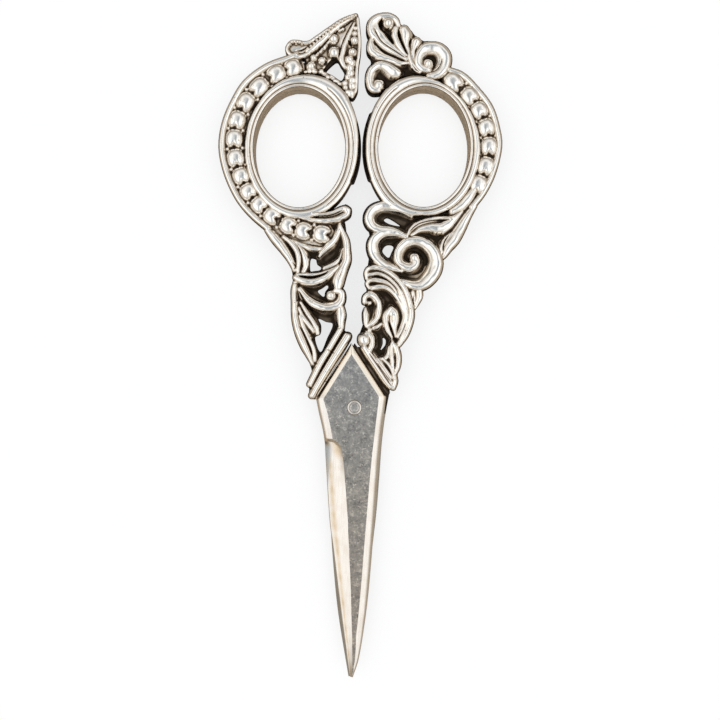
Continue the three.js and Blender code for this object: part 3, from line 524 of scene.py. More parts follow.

# %% [markdown]
# The left handle has a pointed leaf of small grains at its top, a ring with a row of heart beads round
# it, and a shank of acanthus leaves ending in two bars at the blade. The strands were read off the
# photograph one by one and turned into millimetres, so each has its own line of points: few for a short
# leaf, more for a scroll.

# %% Ornament of the left handle
# Heights and half widths in millimetres: each strand has its crest above the seam, how far
# the crest leans to one side, and x, y, half width along its middle
LEFT_SHANK = {
    "leaf_outer": (2.25, 0, [(-15.4, 29.8, .59), (-14.1, 28.4, .88), (-12.6, 26.6, .81),
        (-11.4, 24.8, .64), (-10.7, 23.2, .42)]),
    "leaf_middle": (2.15, 0, [(-12.7, 28.8, .34), (-11.3, 27.7, .51), (-10.3, 26.3, .58),
        (-10.0, 24.8, .54), (-10.1, 23.0, .44)]),
    "leaf_inner": (2.0, 0.2, [(-10.8, 27.6, .27), (-9.6, 26.5, .51), (-8.9, 25.1, .61),
        (-8.8, 23.9, .54), (-9.2, 22.9, .41)]),
    "bead_ledge": (1.8, 0, [(-11.2, 28.1, .24), (-9.4, 27.4, .31), (-7.7, 26.9, .32),
        (-5.8, 26.9, .27)]),
    "crescent_top": (2.15, 0, [(-10.2, 22.4, .37), (-8.8, 22.4, .41), (-6.9, 22.5, .41),
        (-5.2, 22.9, .36), (-3.5, 23.8, .24)]),
    "crescent": (2.35, 0, [(-10.5, 21.9, .58), (-9.3, 21.4, .75), (-7.7, 21.2, .78), (-6.2, 21.6, .75),
        (-4.8, 22.5, .64), (-3.8, 23.4, .47), (-3.2, 24.0, .31)]),
    "stem": (2.4, -0.1, [(-3.1, 31.1, .34), (-2.6, 29.9, .51), (-2.0, 28.3, .68), (-1.8, 26.6, .75),
        (-1.8, 25.1, .85), (-2.4, 23.5, .95), (-2.9, 22.3, 1.09), (-3.2, 21.1, 1.09),
        (-3.2, 20.4, .78)]),
    "stem_leaf_top": (2.1, 0, [(-3.1, 31.1, .34), (-3.4, 29.7, .54), (-4.1, 28.3, .61),
        (-5.1, 27.3, .58), (-6.0, 26.4, .48), (-6.5, 25.6, .27)]),
    "stem_leaf_low": (2.0, 0, [(-2.5, 26.8, .27), (-2.9, 25.4, .37), (-3.9, 24.4, .41),
        (-5.7, 23.6, .31)]),
    "scroll": (2.4, -0.2, [(-9.7, 19.9, .51), (-8.7, 18.6, .68), (-7.6, 17.7, .78), (-6.2, 17.1, .85),
        (-4.9, 16.9, .88), (-3.6, 17.2, .88), (-2.8, 17.8, .85), (-2.5, 18.7, .78), (-2.7, 19.6, .71),
        (-3.6, 19.8, .58)]),
    "outer_stem": (2.4, 0, [(-10.5, 21.0, .51), (-10.7, 19.7, .61), (-10.6, 17.7, .63),
        (-10.5, 15.6, .66), (-10.2, 14.0, .73), (-9.6, 12.2, .80), (-8.8, 10.3, .76), (-8.0, 8.8, .63),
        (-7.3, 7.3, .39)]),
    "drop_leaf": (2.2, 0, [(-9.5, 17.7, .31), (-8.4, 15.9, .48), (-7.3, 14.3, .54), (-6.7, 13.4, .54),
        (-6.5, 12.5, .48)]),
    "drop_leaf_inner": (1.95, 0, [(-9.8, 16.7, .29), (-9.0, 15.1, .41), (-8.0, 13.9, .44),
        (-7.2, 12.9, .37)]),
    "foot_leaf": (2.1, 0, [(-9.6, 15.4, .29), (-8.9, 13.3, .44), (-8.1, 11.7, .51), (-7.3, 10.2, .51),
        (-7.0, 9.0, .48), (-6.9, 7.9, .37)]),
    "inner_stem": (2.35, 0, [(-2.7, 16.8, .81), (-2.6, 15.7, .98), (-2.6, 14.6, .81),
        (-2.5, 13.5, .61)]),
    "ring_tail": (2.3, -0.1, [(-11.6, 32.6, .20), (-9.5, 32.1, .37), (-7.4, 31.7, .46),
        (-5.2, 31.7, .53), (-3.3, 32.1, .64), (-2.0, 32.8, .71), (-1.8, 33.5, .71)]),
    "tail_upper": (2.25, 0, [(-8.7, 32.6, .24), (-6.1, 32.7, .44), (-4.4, 33.0, .54), (-3.1, 33.6, .61),
        (-2.2, 33.9, .61)]),
}
LEFT_BARS = {
    "collar_bed": (1.45, 0, [(-6.8, 1.7, .49), (-1.2, 11.7, .49)]),
    "bar_far": (2.3, 0, [(-2.6, 13.5, .66), (-4.5, 10.1, .66), (-6.1, 7.2, .64), (-7.7, 3.8, .62)]),
    "bar_near": (2.4, 0, [(-1.4, 12.1, .81), (-4.3, 7.3, .71), (-5.9, 4.5, .67), (-7.3, 1.9, .67)]),
}
LEFT_FINIAL = {
    "ribbon_edge": (2.1, 0, [(-1.1, 66.7, .24), (-2.4, 66.3, .31), (-3.8, 65.6, .34), (-5.2, 64.6, .36),
        (-6.7, 63.5, .36), (-7.8, 62.7, .36), (-8.8, 62.0, .34), (-9.7, 61.8, .32), (-11.0, 62.0, .32),
        (-12.0, 61.9, .32), (-12.6, 61.2, .34), (-12.7, 60.5, .36), (-12.2, 59.8, .41),
        (-11.1, 59.4, .44), (-10.0, 59.6, .41), (-8.9, 60.1, .31)]),
    "ribbon_body": (2.0, 0, [(-1.5, 66.3, .17), (-2.9, 65.5, .32), (-4.4, 64.6, .42), (-5.7, 63.4, .49),
        (-6.7, 62.4, .53), (-7.7, 61.5, .53), (-8.5, 60.7, .46), (-9.4, 60.4, .34)]),
    "strip": (1.95, 0, [(-5.7, 62.1, .24), (-6.6, 60.8, .31), (-7.6, 59.8, .24)]),
    "right_of_vein": (2.1, 0, [(-1.4, 65.4, .20), (-2.2, 63.6, .41), (-2.8, 62.0, .48),
        (-3.3, 60.5, .54), (-3.5, 59.2, .58), (-3.2, 58.3, .51), (-2.8, 57.8, .37)]),
    "right_edge": (1.95, 0, [(-0.8, 66.2, .26), (-0.6, 64.3, .29), (-0.4, 62.1, .29), (-0.5, 59.9, .29),
        (-0.7, 58.6, .31), (-0.8, 56.8, .31), (-0.8, 55.4, .31), (-0.9, 53.9, .34), (-1.5, 52.8, .37)]),
    "under_hole": (1.75, 0, [(-6.6, 56.7, .37), (-5.1, 56.1, .37), (-4.3, 55.5, .36),
        (-3.3, 54.8, .32)]),
}
# Balls: x, y, radius, crest
LEFT_BALLS = [
    (-4.4, 19.0, .96, 2.4), (-2.1, 33.6, .79, 2.4), (-4.7, 60.3, 1.08, 2.5),
    (-4.9, 62.6, .93, 2.35), (-6.7, 58.8, .76, 2.35), (-8.6, 57.9, .88, 2.4), (-8.2, 59.3, .65, 2.2),
    (-3.9, 64.1, .40, 2.05), (-3.3, 64.3, .36, 2.05), (-8.8, 57.0, .48, 2.0), (-8.0, 57.0, .52, 2.05),
    (-6.8, 57.0, .52, 2.05), (-9.5, 56.9, .34, 1.95), (-1.2, 64.5, .38, 2.0), (-1.3, 63.6, .46, 2.05),
    (-1.3, 62.4, .72, 2.3), (-1.6, 60.4, .77, 2.4), (-2.1, 59.1, .83, 2.25), (-1.7, 58.6, .76, 2.25),
    (-2.0, 57.8, .79, 2.2), (-1.9, 56.9, .76, 2.1), (-2.3, 56.2, .62, 2.05), (-2.8, 55.1, .62, 2.15),
    (-2.7, 54.4, .58, 2.2), (-1.5, 55.6, .79, 2.15), (-1.6, 54.7, .86, 2.2), (-2.3, 53.6, .57, 2.15),
    (-1.7, 53.4, .86, 2.25), (-5.7, 56.1, .48, 2.1), (-4.5, 55.5, .38, 1.95), (-3.7, 55.0, .34, 1.9),
]
# Chased lines: half width, depth, points
LEFT_LINES = [
    (.13, .40, [(-12.3, 28.0), (-11.5, 27.0), (-10.9, 26.1), (-10.6, 25.0), (-10.4, 24.2)]),
    (.12, .36, [(-11.0, 24.5), (-10.5, 23.7), (-10.8, 23.2)]),
    (.12, .32, [(-10.3, 27.4), (-9.8, 26.4), (-9.5, 25.2), (-9.6, 23.9), (-9.8, 22.8)]),
    (.17, .56, [(-10.0, 22.2), (-9.0, 22.0), (-7.8, 21.9), (-6.6, 22.2), (-5.4, 22.7), (-5.0, 23.1)]),
    (.12, .40, [(-2.6, 26.7), (-2.7, 25.7), (-3.1, 24.3)]),
    (.10, .20, [(-2.5, 23.6), (-2.8, 22.6), (-3.2, 21.7)]),
    (.17, .64, [(-9.8, 19.5), (-9.2, 18.4), (-8.4, 17.3), (-7.3, 16.3)]),
    (.10, .24, [(-8.2, 18.2), (-7.8, 17.9), (-7.4, 17.6)]),
    (.13, .40, [(-9.6, 13.6), (-8.5, 11.7), (-7.8, 10.1), (-7.4, 8.6)]),
    (.12, .32, [(-9.6, 17.2), (-8.8, 15.8), (-7.8, 14.4), (-7.2, 13.4)]),
    (.12, .28, [(-2.3, 13.5), (-3.1, 13.4)]),
    (.12, .28, [(-4.0, 9.4), (-4.9, 9.8)]),
    (.10, .40, [(-6.9, 32.4), (-5.2, 32.5), (-3.8, 32.9), (-2.7, 33.5)]),
    (.08, .20, [(-7.9, 32.8), (-5.9, 33.0), (-4.2, 33.6)]),
    (.10, .28, [(-0.8, 11.1), (-3.5, 6.5), (-6.4, 1.6)]),
    (.09, .24, [(-1.1, 11.2), (-3.8, 6.7), (-6.6, 1.9)]),
    (.10, .40, [(-10.7, 20.9), (-9.9, 20.7)]),
    (.10, .36, [(-1.4, 66.1), (-2.6, 65.2), (-3.9, 64.2), (-5.2, 63.0), (-6.1, 62.0), (-7.1, 61.0),
        (-8.1, 60.1), (-9.0, 59.5)]),
    (.12, .44, [(-1.5, 65.7), (-2.3, 64.3), (-2.9, 63.0), (-3.4, 61.7), (-3.8, 60.2), (-3.9, 59.2)]),
    (.13, .48, [(-11.1, 60.5), (-10.3, 60.6), (-9.3, 61.2)]),
    (.21, .64, [(-2.3, 62.4), (-1.8, 61.5)]),
    (.10, .32, [(-2.2, 55.4), (-2.2, 54.6), (-1.9, 53.9)]),
]
LEFT_PIERCINGS = [
    [(-8.0, 25.2), (-7.1, 25.1), (-6.9, 24.3), (-6.2, 23.8), (-6.3, 23.3), (-7.2, 23.1), (-8.0, 23.1)],
    [(-5.1, 20.8), (-6.0, 20.2), (-6.7, 19.7), (-5.6, 18.7), (-5.4, 19.6), (-4.9, 20.3)],
    [(-6.5, 15.0), (-5.2, 14.5), (-4.0, 14.1), (-4.9, 11.7), (-6.0, 9.3), (-7.0, 11.7), (-6.1, 12.4),
        (-6.0, 13.9)],
    [(-4.2, 59.0), (-5.3, 58.2), (-6.1, 57.1), (-4.9, 56.4), (-3.4, 55.6), (-2.9, 56.9), (-3.6, 58.2)],
]
LEFT_GROUND = [
    [(-15.4, 30.7), (-12.9, 26.8), (-11.2, 23.2), (-10.9, 19.8), (-10.8, 14.7), (-8.8, 9.6),
        (-7.4, 6.0), (-7.8, 3.1), (-7.1, 1.6), (-0.9, 11.5), (-2.4, 13.7), (-2.3, 18.3), (-2.9, 20.8),
        (-1.5, 24.8), (-1.9, 29.2), (-2.8, 32.3), (-6.6, 32.2), (-10.8, 31.4)],
    [(-1.1, 67.1), (-0.7, 66.6), (-0.4, 64.5), (-0.2, 62.1), (-0.3, 59.7), (-0.6, 57.9), (-0.6, 55.0),
        (-0.9, 53.7), (-1.5, 52.8), (-2.4, 53.4), (-3.5, 54.7), (-5.1, 55.6), (-6.9, 56.5),
        (-9.5, 56.9), (-10.0, 57.7), (-9.7, 59.2), (-10.3, 59.4), (-8.9, 60.7), (-7.1, 62.5),
        (-5.3, 64.6), (-3.0, 66.2)],
]
LEFT_BEAD_ROW = [(-11.7, 57.6), (-14.5, 56.5), (-17.4, 54.2), (-19.6, 51.6), (-21.0, 48.5),
    (-21.4, 45.3), (-21.1, 42.0), (-20.1, 39.0), (-18.8, 36.4), (-16.9, 34.2), (-14.7, 32.3),
    (-11.9, 30.8), (-9.3, 29.9), (-6.1, 29.4)]
LEFT_RIM = [(-11.2, 59.7), (-12.6, 59.1), (-16.2, 57.6), (-19.6, 54.9), (-21.6, 51.6), (-23.0, 48.0),
    (-23.5, 44.3), (-23.0, 40.9), (-21.8, 37.6), (-20.1, 34.6), (-17.9, 32.2), (-15.3, 30.1)]
LEFT_GRAINS = [
    [(-1.6, 66.5), (-2.7, 66.0), (-3.8, 65.3), (-4.7, 64.7), (-5.7, 63.9), (-6.3, 63.3), (-7.0, 62.7),
        (-7.7, 62.2), (-8.3, 61.6), (-9.2, 60.8)],
    [(-12.2, 61.5), (-11.5, 61.7), (-10.9, 61.6), (-10.2, 61.6)],
    [(-6.0, 61.4), (-6.7, 60.7), (-7.4, 60.0)],
]
LEFT_FIELDS = [
    (1.5, [(-12.6, 61.5), (-12.1, 62.1), (-11.1, 62.1), (-9.8, 61.9), (-8.9, 62.2), (-8.1, 61.6),
        (-9.0, 60.5), (-10.2, 60.0), (-11.6, 59.9), (-12.5, 60.5)]),
    (1.42, [(-1.6, 66.1), (-2.8, 65.3), (-4.1, 64.2), (-5.4, 63.0), (-6.2, 62.0), (-7.5, 60.7),
        (-8.7, 59.8), (-9.4, 59.2), (-9.5, 57.9), (-9.2, 57.1), (-6.9, 57.0), (-6.2, 57.8),
        (-5.2, 59.1), (-4.4, 59.5), (-3.9, 60.5), (-3.5, 62.0), (-2.9, 63.5), (-2.2, 64.8)]),
    (1.42, [(-1.2, 66.6), (-0.8, 66.0), (-0.5, 63.8), (-0.4, 61.6), (-0.5, 59.4), (-0.7, 57.2),
        (-0.6, 55.0), (-0.8, 53.7), (-1.5, 52.6), (-2.4, 53.5), (-3.1, 54.5), (-3.3, 55.7),
        (-2.9, 57.0), (-3.3, 58.2), (-3.6, 59.0), (-3.5, 60.2), (-3.0, 62.0), (-2.3, 63.9),
        (-1.6, 65.4)]),
]

# %% [markdown]
# The right handle is freer: a fan of leaves with three scrolls on top, then ears, a big spiral, a ribbed
# fan and a bud down the shank.

# %% Ornament of the right handle
RIGHT_SHANK = {
    "ear_top": (2.45, -0.3, [(9.0, 32.7, .34), (6.9, 33.7, .58), (5.0, 34.3, .81), (3.6, 34.3, .95),
        (2.3, 33.5, 1.08), (1.8, 32.2, 1.12), (2.3, 31.0, 1.02), (3.5, 30.4, .85), (4.9, 30.4, .71),
        (6.3, 30.2, .61), (8.0, 29.4, .44)]),
    "ear_low": (2.45, -0.3, [(8.2, 29.1, .44), (6.4, 29.8, .68), (4.5, 29.8, .88), (3.2, 29.1, 1.05),
        (2.5, 27.9, 1.14), (2.7, 26.5, 1.14), (3.4, 25.3, 1.05), (4.7, 24.4, .85), (6.1, 23.9, .68),
        (7.5, 23.5, .51)]),
    "spiral": (2.5, 0.28, [(9.4, 25.8, .61), (9.9, 25.3, .85), (9.7, 24.5, .91), (9.0, 24.0, .90),
        (8.2, 24.1, .88), (7.2, 24.7, .85), (6.8, 25.8, .85), (7.1, 27.1, .85), (8.2, 28.2, .85),
        (9.9, 28.6, .86), (11.5, 28.1, .95), (12.8, 26.9, 1.08), (13.4, 25.3, 1.22), (13.2, 23.6, 1.29),
        (12.2, 22.0, 1.22), (10.8, 21.0, 1.02), (9.4, 21.0, .85), (8.1, 21.5, .61), (7.3, 21.9, .34)]),
    "leaf_crest": (2.3, 0, [(8.3, 29.2, .31), (8.9, 30.5, .44), (10.2, 31.5, .49), (11.9, 32.1, .48),
        (13.9, 32.5, .44), (16.2, 32.6, .31)]),
    "leaf_body": (2.2, 0, [(9.1, 29.5, .27), (10.7, 30.6, .51), (12.2, 30.9, .78), (13.2, 30.8, .98),
        (14.3, 31.0, .95), (15.5, 31.8, .85), (16.8, 32.9, .51), (17.6, 33.7, .25)]),
    "leaf_right": (2.0, 0, [(16.7, 32.5, .34), (15.6, 31.2, .44), (14.4, 30.2, .37)]),
    "long_leaf": (2.35, 0.1, [(19.7, 34.7, .51), (18.5, 32.8, .75), (17.5, 30.9, .95),
        (16.4, 29.0, 1.09), (15.4, 27.6, .92), (14.8, 26.3, .58), (14.5, 25.7, .27)]),
    "long_leaf_inner": (2.15, 0, [(16.4, 30.3, .24), (15.2, 29.2, .41), (14.4, 28.0, .51),
        (14.2, 26.8, .44), (14.4, 25.9, .27)]),
    "fan_outer": (2.4, 0.15, [(1.6, 22.0, .41), (1.5, 22.9, .49), (2.0, 23.7, .53), (3.6, 23.8, .56),
        (5.4, 23.0, .59), (7.0, 21.7, .61), (8.3, 19.9, .64), (9.0, 17.9, .68), (9.3, 16.2, .70),
        (9.1, 14.5, .68), (8.4, 12.5, .64), (7.4, 10.8, .47)]),
    "fan_second": (2.25, 0, [(1.9, 22.6, .43), (3.5, 22.9, .43), (4.9, 22.4, .43), (6.4, 21.2, .43),
        (7.5, 19.8, .43), (8.2, 18.1, .43), (8.6, 16.4, .43), (8.6, 14.7, .41), (8.0, 12.8, .37),
        (7.2, 11.1, .29)]),
    "fan_third": (2.15, 0, [(2.0, 20.4, .37), (1.7, 21.2, .44), (2.4, 21.8, .46), (3.9, 21.7, .44),
        (5.5, 21.2, .42), (6.7, 20.0, .41), (7.7, 18.5, .39), (8.2, 16.9, .37), (8.3, 15.4, .36),
        (7.9, 13.8, .32), (7.1, 12.1, .24)]),
    "fan_inner": (2.0, 0, [(2.5, 20.4, .43), (4.6, 20.7, .50), (6.0, 20.0, .52), (7.1, 18.6, .46),
        (7.9, 16.9, .36), (8.1, 15.4, .29), (7.6, 13.8, .27), (6.9, 12.2, .21)]),
    "petal_right": (2.1, 0, [(10.6, 20.1, .69), (10.6, 19.0, .67), (10.2, 17.8, .45),
        (9.9, 17.1, .29)]),
    "petal_left": (2.0, 0, [(9.5, 19.8, .41), (9.7, 18.7, .41), (9.8, 17.4, .29)]),
    "c_scroll": (2.3, 0.2, [(1.3, 18.0, .55), (1.4, 18.8, .59), (2.1, 19.3, .61), (3.0, 18.9, .64),
        (3.7, 17.9, .66), (3.8, 16.8, .68), (3.5, 15.5, .66), (2.7, 14.5, .61), (1.9, 13.9, .47)]),
    "small_leaf": (2.3, 0, [(1.5, 16.8, .37), (1.5, 16.1, .61), (1.6, 15.3, .69), (1.6, 14.5, .57),
        (1.6, 13.9, .37)]),
    "twig": (1.9, 0, [(3.0, 13.6, .35), (3.6, 13.8, .33), (4.2, 14.3, .24)]),
    "foot_scroll": (2.35, 0, [(1.8, 12.6, .59), (2.4, 12.3, .70), (2.7, 11.5, .78), (2.6, 10.4, .70),
        (2.2, 9.5, .55)]),
    "bud_left": (2.3, 0, [(5.8, 17.0, .44), (5.1, 15.9, .68), (5.0, 14.6, .66), (5.4, 13.3, .53),
        (6.1, 12.1, .35)]),
    "bud_core": (2.05, 0, [(5.9, 15.7, .37), (6.1, 14.4, .44), (6.4, 13.2, .37), (6.6, 12.2, .20)]),
    "bud_right": (2.25, 0, [(5.9, 17.0, .44), (6.4, 16.2, .71), (6.6, 15.1, .71), (6.5, 13.8, .53),
        (6.6, 12.5, .31)]),
    "lower_leaf": (2.25, 0.15, [(6.2, 11.3, .34), (6.9, 10.1, .64), (7.2, 8.6, .72), (7.1, 7.0, .64),
        (6.7, 5.8, .42)]),
    "lower_leaf_inner": (2.15, 0, [(6.1, 11.0, .33), (6.1, 9.4, .47), (6.3, 7.7, .47),
        (6.6, 6.3, .33)]),
    "hollow_lip": (1.9, 0, [(5.8, 10.4, .33), (5.5, 9.0, .37), (4.7, 8.3, .39), (3.7, 8.4, .37),
        (2.9, 9.3, .31)]),
    "foot_bar_second": (2.25, 0, [(2.9, 8.8, .32), (4.3, 7.0, .35), (6.2, 4.4, .34)]),
    "foot_bar_third": (2.2, 0, [(3.7, 8.4, .32), (4.7, 7.3, .35), (6.2, 5.2, .35)]),
    "foot_bar_outer": (2.3, 0, [(4.6, 8.5, .30), (5.9, 7.1, .37), (6.6, 5.7, .52), (6.8, 4.6, .60),
        (6.5, 3.5, .56)]),
    "border_leaf": (2.2, 0, [(19.5, 37.4, .73), (18.6, 36.0, .96), (17.4, 34.7, .96),
        (15.9, 33.7, .60)]),
}
RIGHT_BARS = {
    "foot_bar": (2.4, 0.15, [(1.5, 10.2, .69), (2.2, 9.2, .76), (3.8, 6.9, .73), (5.3, 4.7, .71),
        (6.1, 3.7, .60)]),
}
RIGHT_FINIAL = {
    "lobe_top": (2.4, -0.2, [(6.1, 65.1, .48), (5.6, 66.0, .62), (4.6, 66.5, .71), (3.6, 66.5, .75),
        (2.6, 66.2, .82), (1.8, 65.5, .93), (1.6, 64.6, 1.01), (1.9, 63.5, 1.01), (2.9, 62.4, .93),
        (4.1, 61.4, .84), (5.7, 60.4, .71), (7.6, 59.4, .40)]),
    "lobe_top_inner": (2.15, 0, [(2.3, 65.3, .57), (2.7, 64.2, .79), (3.5, 63.0, .84), (4.6, 61.8, .75),
        (5.8, 60.8, .62), (7.3, 59.8, .35)]),
    "lobe_thin": (2.05, 0, [(2.1, 62.2, .22), (3.1, 61.3, .31), (4.3, 60.5, .34), (5.8, 59.9, .31),
        (7.5, 59.3, .20)]),
    "lobe_low": (2.3, -0.15, [(1.5, 62.4, .57), (1.5, 61.6, .79), (1.7, 60.7, .88), (2.5, 60.1, .88),
        (3.8, 59.6, .75), (5.1, 59.2, .66), (6.4, 58.7, .55), (7.9, 58.7, .31)]),
    "lobe_low_inner": (1.95, 0, [(2.3, 61.4, .40), (3.4, 60.5, .53), (4.9, 59.9, .49),
        (6.6, 59.3, .31)]),
    "lobe_mid": (2.25, 0, [(5.7, 64.6, .57), (5.5, 63.6, .71), (5.8, 62.5, .71), (6.4, 61.5, .62),
        (7.1, 60.6, .49), (7.8, 59.9, .31)]),
    "lobe_bulb": (2.35, -0.1, [(7.1, 64.3, .97), (7.4, 63.5, 1.10), (7.4, 62.6, .86), (7.5, 61.8, .62),
        (7.7, 60.8, .49), (8.1, 59.7, .35)]),
    "lobe_small": (2.3, 0, [(9.2, 62.3, .95), (9.0, 61.6, .79), (8.7, 60.7, .57), (8.7, 59.7, .49),
        (9.0, 58.7, .33)]),
    "finial_stem": (2.3, 0, [(7.8, 61.3, .35), (8.0, 60.0, .49), (8.4, 58.8, .53), (9.0, 57.9, .53),
        (9.9, 57.2, .40)]),
    "finial_spiral": (2.45, 0.25, [(11.4, 57.7, .66), (10.5, 57.8, .79), (9.8, 58.4, .84),
        (9.6, 59.4, .84), (9.9, 60.4, .88), (10.6, 61.2, .97), (11.6, 61.5, 1.04), (12.7, 61.4, 1.10),
        (13.6, 60.8, 1.21), (14.1, 59.8, 1.30), (14.0, 58.5, 1.28), (13.5, 57.5, 1.15),
        (12.6, 56.8, .93), (11.4, 56.6, .53)]),
    "hook": (2.4, 0.15, [(2.9, 54.0, .66), (2.0, 54.2, .84), (1.5, 55.1, .84), (1.4, 56.2, .84),
        (1.7, 57.3, .82), (2.4, 58.0, .77), (3.4, 58.3, .79), (4.4, 57.9, .97), (5.3, 57.2, 1.10),
        (6.1, 56.9, .84)]),
}
RIGHT_BALLS = [
    (9.7, 25.6, .96, 2.5), (2.2, 17.8, .45, 2.1), (2.3, 13.2, .55, 2.2),
    (1.4, 11.6, 1.27, 2.6), (6.1, 16.1, .84, 2.3), (4.4, 65.4, 1.05, 2.55), (11.3, 58.6, .95, 2.5),
    (3.0, 54.9, 1.07, 2.5),
]
RIGHT_LINES = [
    (.09, .28, [(2.2, 23.0), (3.5, 23.2), (5.1, 22.7), (6.6, 21.5), (7.7, 20.0)]),
    (.10, .32, [(2.0, 21.9), (3.3, 22.3), (4.8, 21.9), (6.4, 20.6), (7.2, 19.1)]),
    (.09, .24, [(2.9, 21.0), (3.9, 21.1), (5.4, 20.7), (6.6, 19.6)]),
    (.08, .24, [(8.5, 14.7), (7.9, 13.2), (7.2, 11.6)]),
    (.13, .40, [(8.8, 30.1), (9.8, 31.1), (11.1, 31.7), (13.1, 32.1), (15.4, 32.2)]),
    (.14, .48, [(15.4, 29.6), (14.8, 28.7), (14.5, 27.7), (14.5, 26.9)]),
    (.15, .56, [(5.4, 14.8), (6.0, 13.4), (6.6, 11.7)]),
    (.13, .48, [(6.7, 9.4), (6.8, 8.0), (6.7, 6.7)]),
    (.12, .40, [(2.3, 9.3), (3.9, 7.1), (6.1, 3.9)]),
    (.10, .32, [(3.7, 7.7), (4.6, 6.4), (6.1, 4.5)]),
    (.12, .40, [(4.7, 7.7), (5.4, 6.8), (6.1, 5.8)]),
    (.10, .28, [(2.3, 12.1), (2.4, 11.2), (2.0, 10.4)]),
    (.12, .40, [(9.6, 19.0), (9.6, 18.1), (9.8, 17.5)]),
    (.10, .32, [(6.3, 24.8), (6.9, 24.2), (7.5, 23.5)]),
    (.12, .32, [(3.1, 16.1), (2.9, 15.1)]),
    (.27, .72, [(3.3, 66.1), (3.0, 65.2), (3.3, 64.3), (4.0, 63.8), (4.7, 62.8), (5.3, 61.9)]),
    (.13, .40, [(2.0, 64.4), (2.5, 63.4), (3.3, 62.2), (4.5, 61.3), (6.0, 60.4), (7.3, 59.6)]),
    (.14, .48, [(1.9, 62.6), (2.4, 61.8), (3.4, 60.9), (4.6, 60.2), (5.8, 59.7), (7.5, 59.0)]),
    (.12, .40, [(2.6, 61.4), (3.7, 60.5), (5.1, 59.9), (6.6, 59.4)]),
    (.17, .64, [(6.1, 64.4), (6.3, 63.4), (6.8, 62.1), (7.4, 60.8), (7.8, 60.1)]),
    (.13, .48, [(8.3, 63.0), (8.1, 62.3), (8.0, 61.6)]),
    (.12, .32, [(9.4, 61.5), (9.1, 60.7), (9.1, 60.1)]),
    (.10, .28, [(11.8, 57.2), (12.7, 57.6), (13.4, 58.5), (13.6, 59.6)]),
    (.12, .40, [(8.6, 58.3), (9.3, 57.5), (9.8, 57.2)]),
]
RIGHT_PIERCINGS = [
    [(4.3, 32.0), (4.8, 32.5), (5.7, 32.2), (7.3, 31.1), (6.4, 31.1), (5.2, 31.4)],
    [(5.3, 27.9), (6.1, 27.6), (5.7, 26.4), (5.3, 25.6), (4.7, 26.0), (4.2, 26.7), (4.6, 27.6)],
    [(12.0, 29.0), (12.5, 28.8), (12.9, 28.3), (12.4, 28.5)],
    [(4.6, 12.0), (5.1, 11.6), (5.0, 10.7), (4.2, 9.8), (4.6, 10.9)],
]
RIGHT_GROUND = [
    [(2.3, 34.8), (1.7, 32.2), (2.1, 27.6), (1.7, 23.5), (1.6, 19.2), (1.3, 14.9), (0.7, 10.8),
        (6.0, 3.6), (7.2, 5.5), (7.6, 10.8), (9.5, 15.5), (9.8, 18.5), (11.4, 21.3), (13.7, 25.1),
        (14.9, 26.8), (17.7, 30.3), (19.4, 34.5), (13.9, 33.3), (10.5, 33.6), (6.2, 34.5)],
    [(1.0, 62.8), (1.2, 65.4), (2.5, 66.9), (3.9, 67.3), (5.4, 66.7), (6.1, 65.6), (8.2, 64.4),
        (10.0, 62.8), (12.2, 62.5), (14.1, 61.8), (15.0, 60.1), (14.8, 58.7), (15.2, 57.6),
        (14.8, 56.5), (10.7, 56.8), (7.4, 56.7), (4.6, 54.5), (2.8, 54.1), (1.2, 55.4), (1.0, 56.8),
        (1.6, 58.9), (1.1, 60.8)],
]
RIGHT_BEAD_ROW = [(15.7, 55.7), (18.5, 53.4), (20.2, 51.0), (21.5, 48.1), (22.0, 44.9), (21.5, 41.5),
    (20.3, 38.4)]
RIGHT_RIM = [(14.9, 57.7), (17.1, 56.9), (19.2, 55.0), (22.0, 51.5), (23.4, 47.2), (23.6, 44.5),
    (22.7, 40.4), (21.2, 37.1), (19.3, 34.5)]
RIGHT_FIELDS = [
    (1.25, [(7.4, 23.0), (8.4, 21.9), (10.1, 21.8), (11.4, 22.8), (11.9, 24.3), (11.5, 24.4),
        (11.0, 23.4), (9.9, 22.8), (8.6, 22.8)]),
    (1.22, [(0.3, 10.3), (1.0, 10.2), (2.1, 8.6), (3.5, 6.6), (5.0, 4.4), (6.0, 2.8), (5.7, 2.2),
        (5.1, 3.0), (4.4, 4.0), (3.5, 5.0), (2.4, 6.5), (1.2, 8.3), (0.1, 9.9)]),
]

# %% [markdown]
# Round each finger opening runs a thin lip, then a crowned band whose width changes on its way round.
# Outside it a row of beads lies in a channel. A bead is a small heart: a crowned boss with a notch at one
# end. A loop sets one at each place along the channel and stretches it to fill its room, with small
# studs in the corners between the beads.

# %% Rings and beads
# Half width, crest and foot of the lip
LIP_HALF = 0.30
LIP_CREST = 2.2
LIP_FOOT = 1.9
# Angle round the ring in degrees, and how far outside the opening its crown ends there
LEFT_RING_EDGE = [
    (0, 2.27), (45, 3.0), (62, 2.8), (90, 2.05), (115, 1.65), (140, 1.4), (180, 1.45), (225, 1.6),
    (270, 1.9), (315, 2.2),
]
RIGHT_RING_EDGE = [
    (0, 1.8), (35, 1.3), (60, 1.1), (80, 1.3), (93, 1.76), (105, 2.17), (125, 2.5), (180, 2.2),
    (230, 2.45), (270, 1.45), (295, 1.72), (330, 1.75),
]
RING_CREST = 2.5
RING_FOOT = 2.07
RING_POINTS = 73
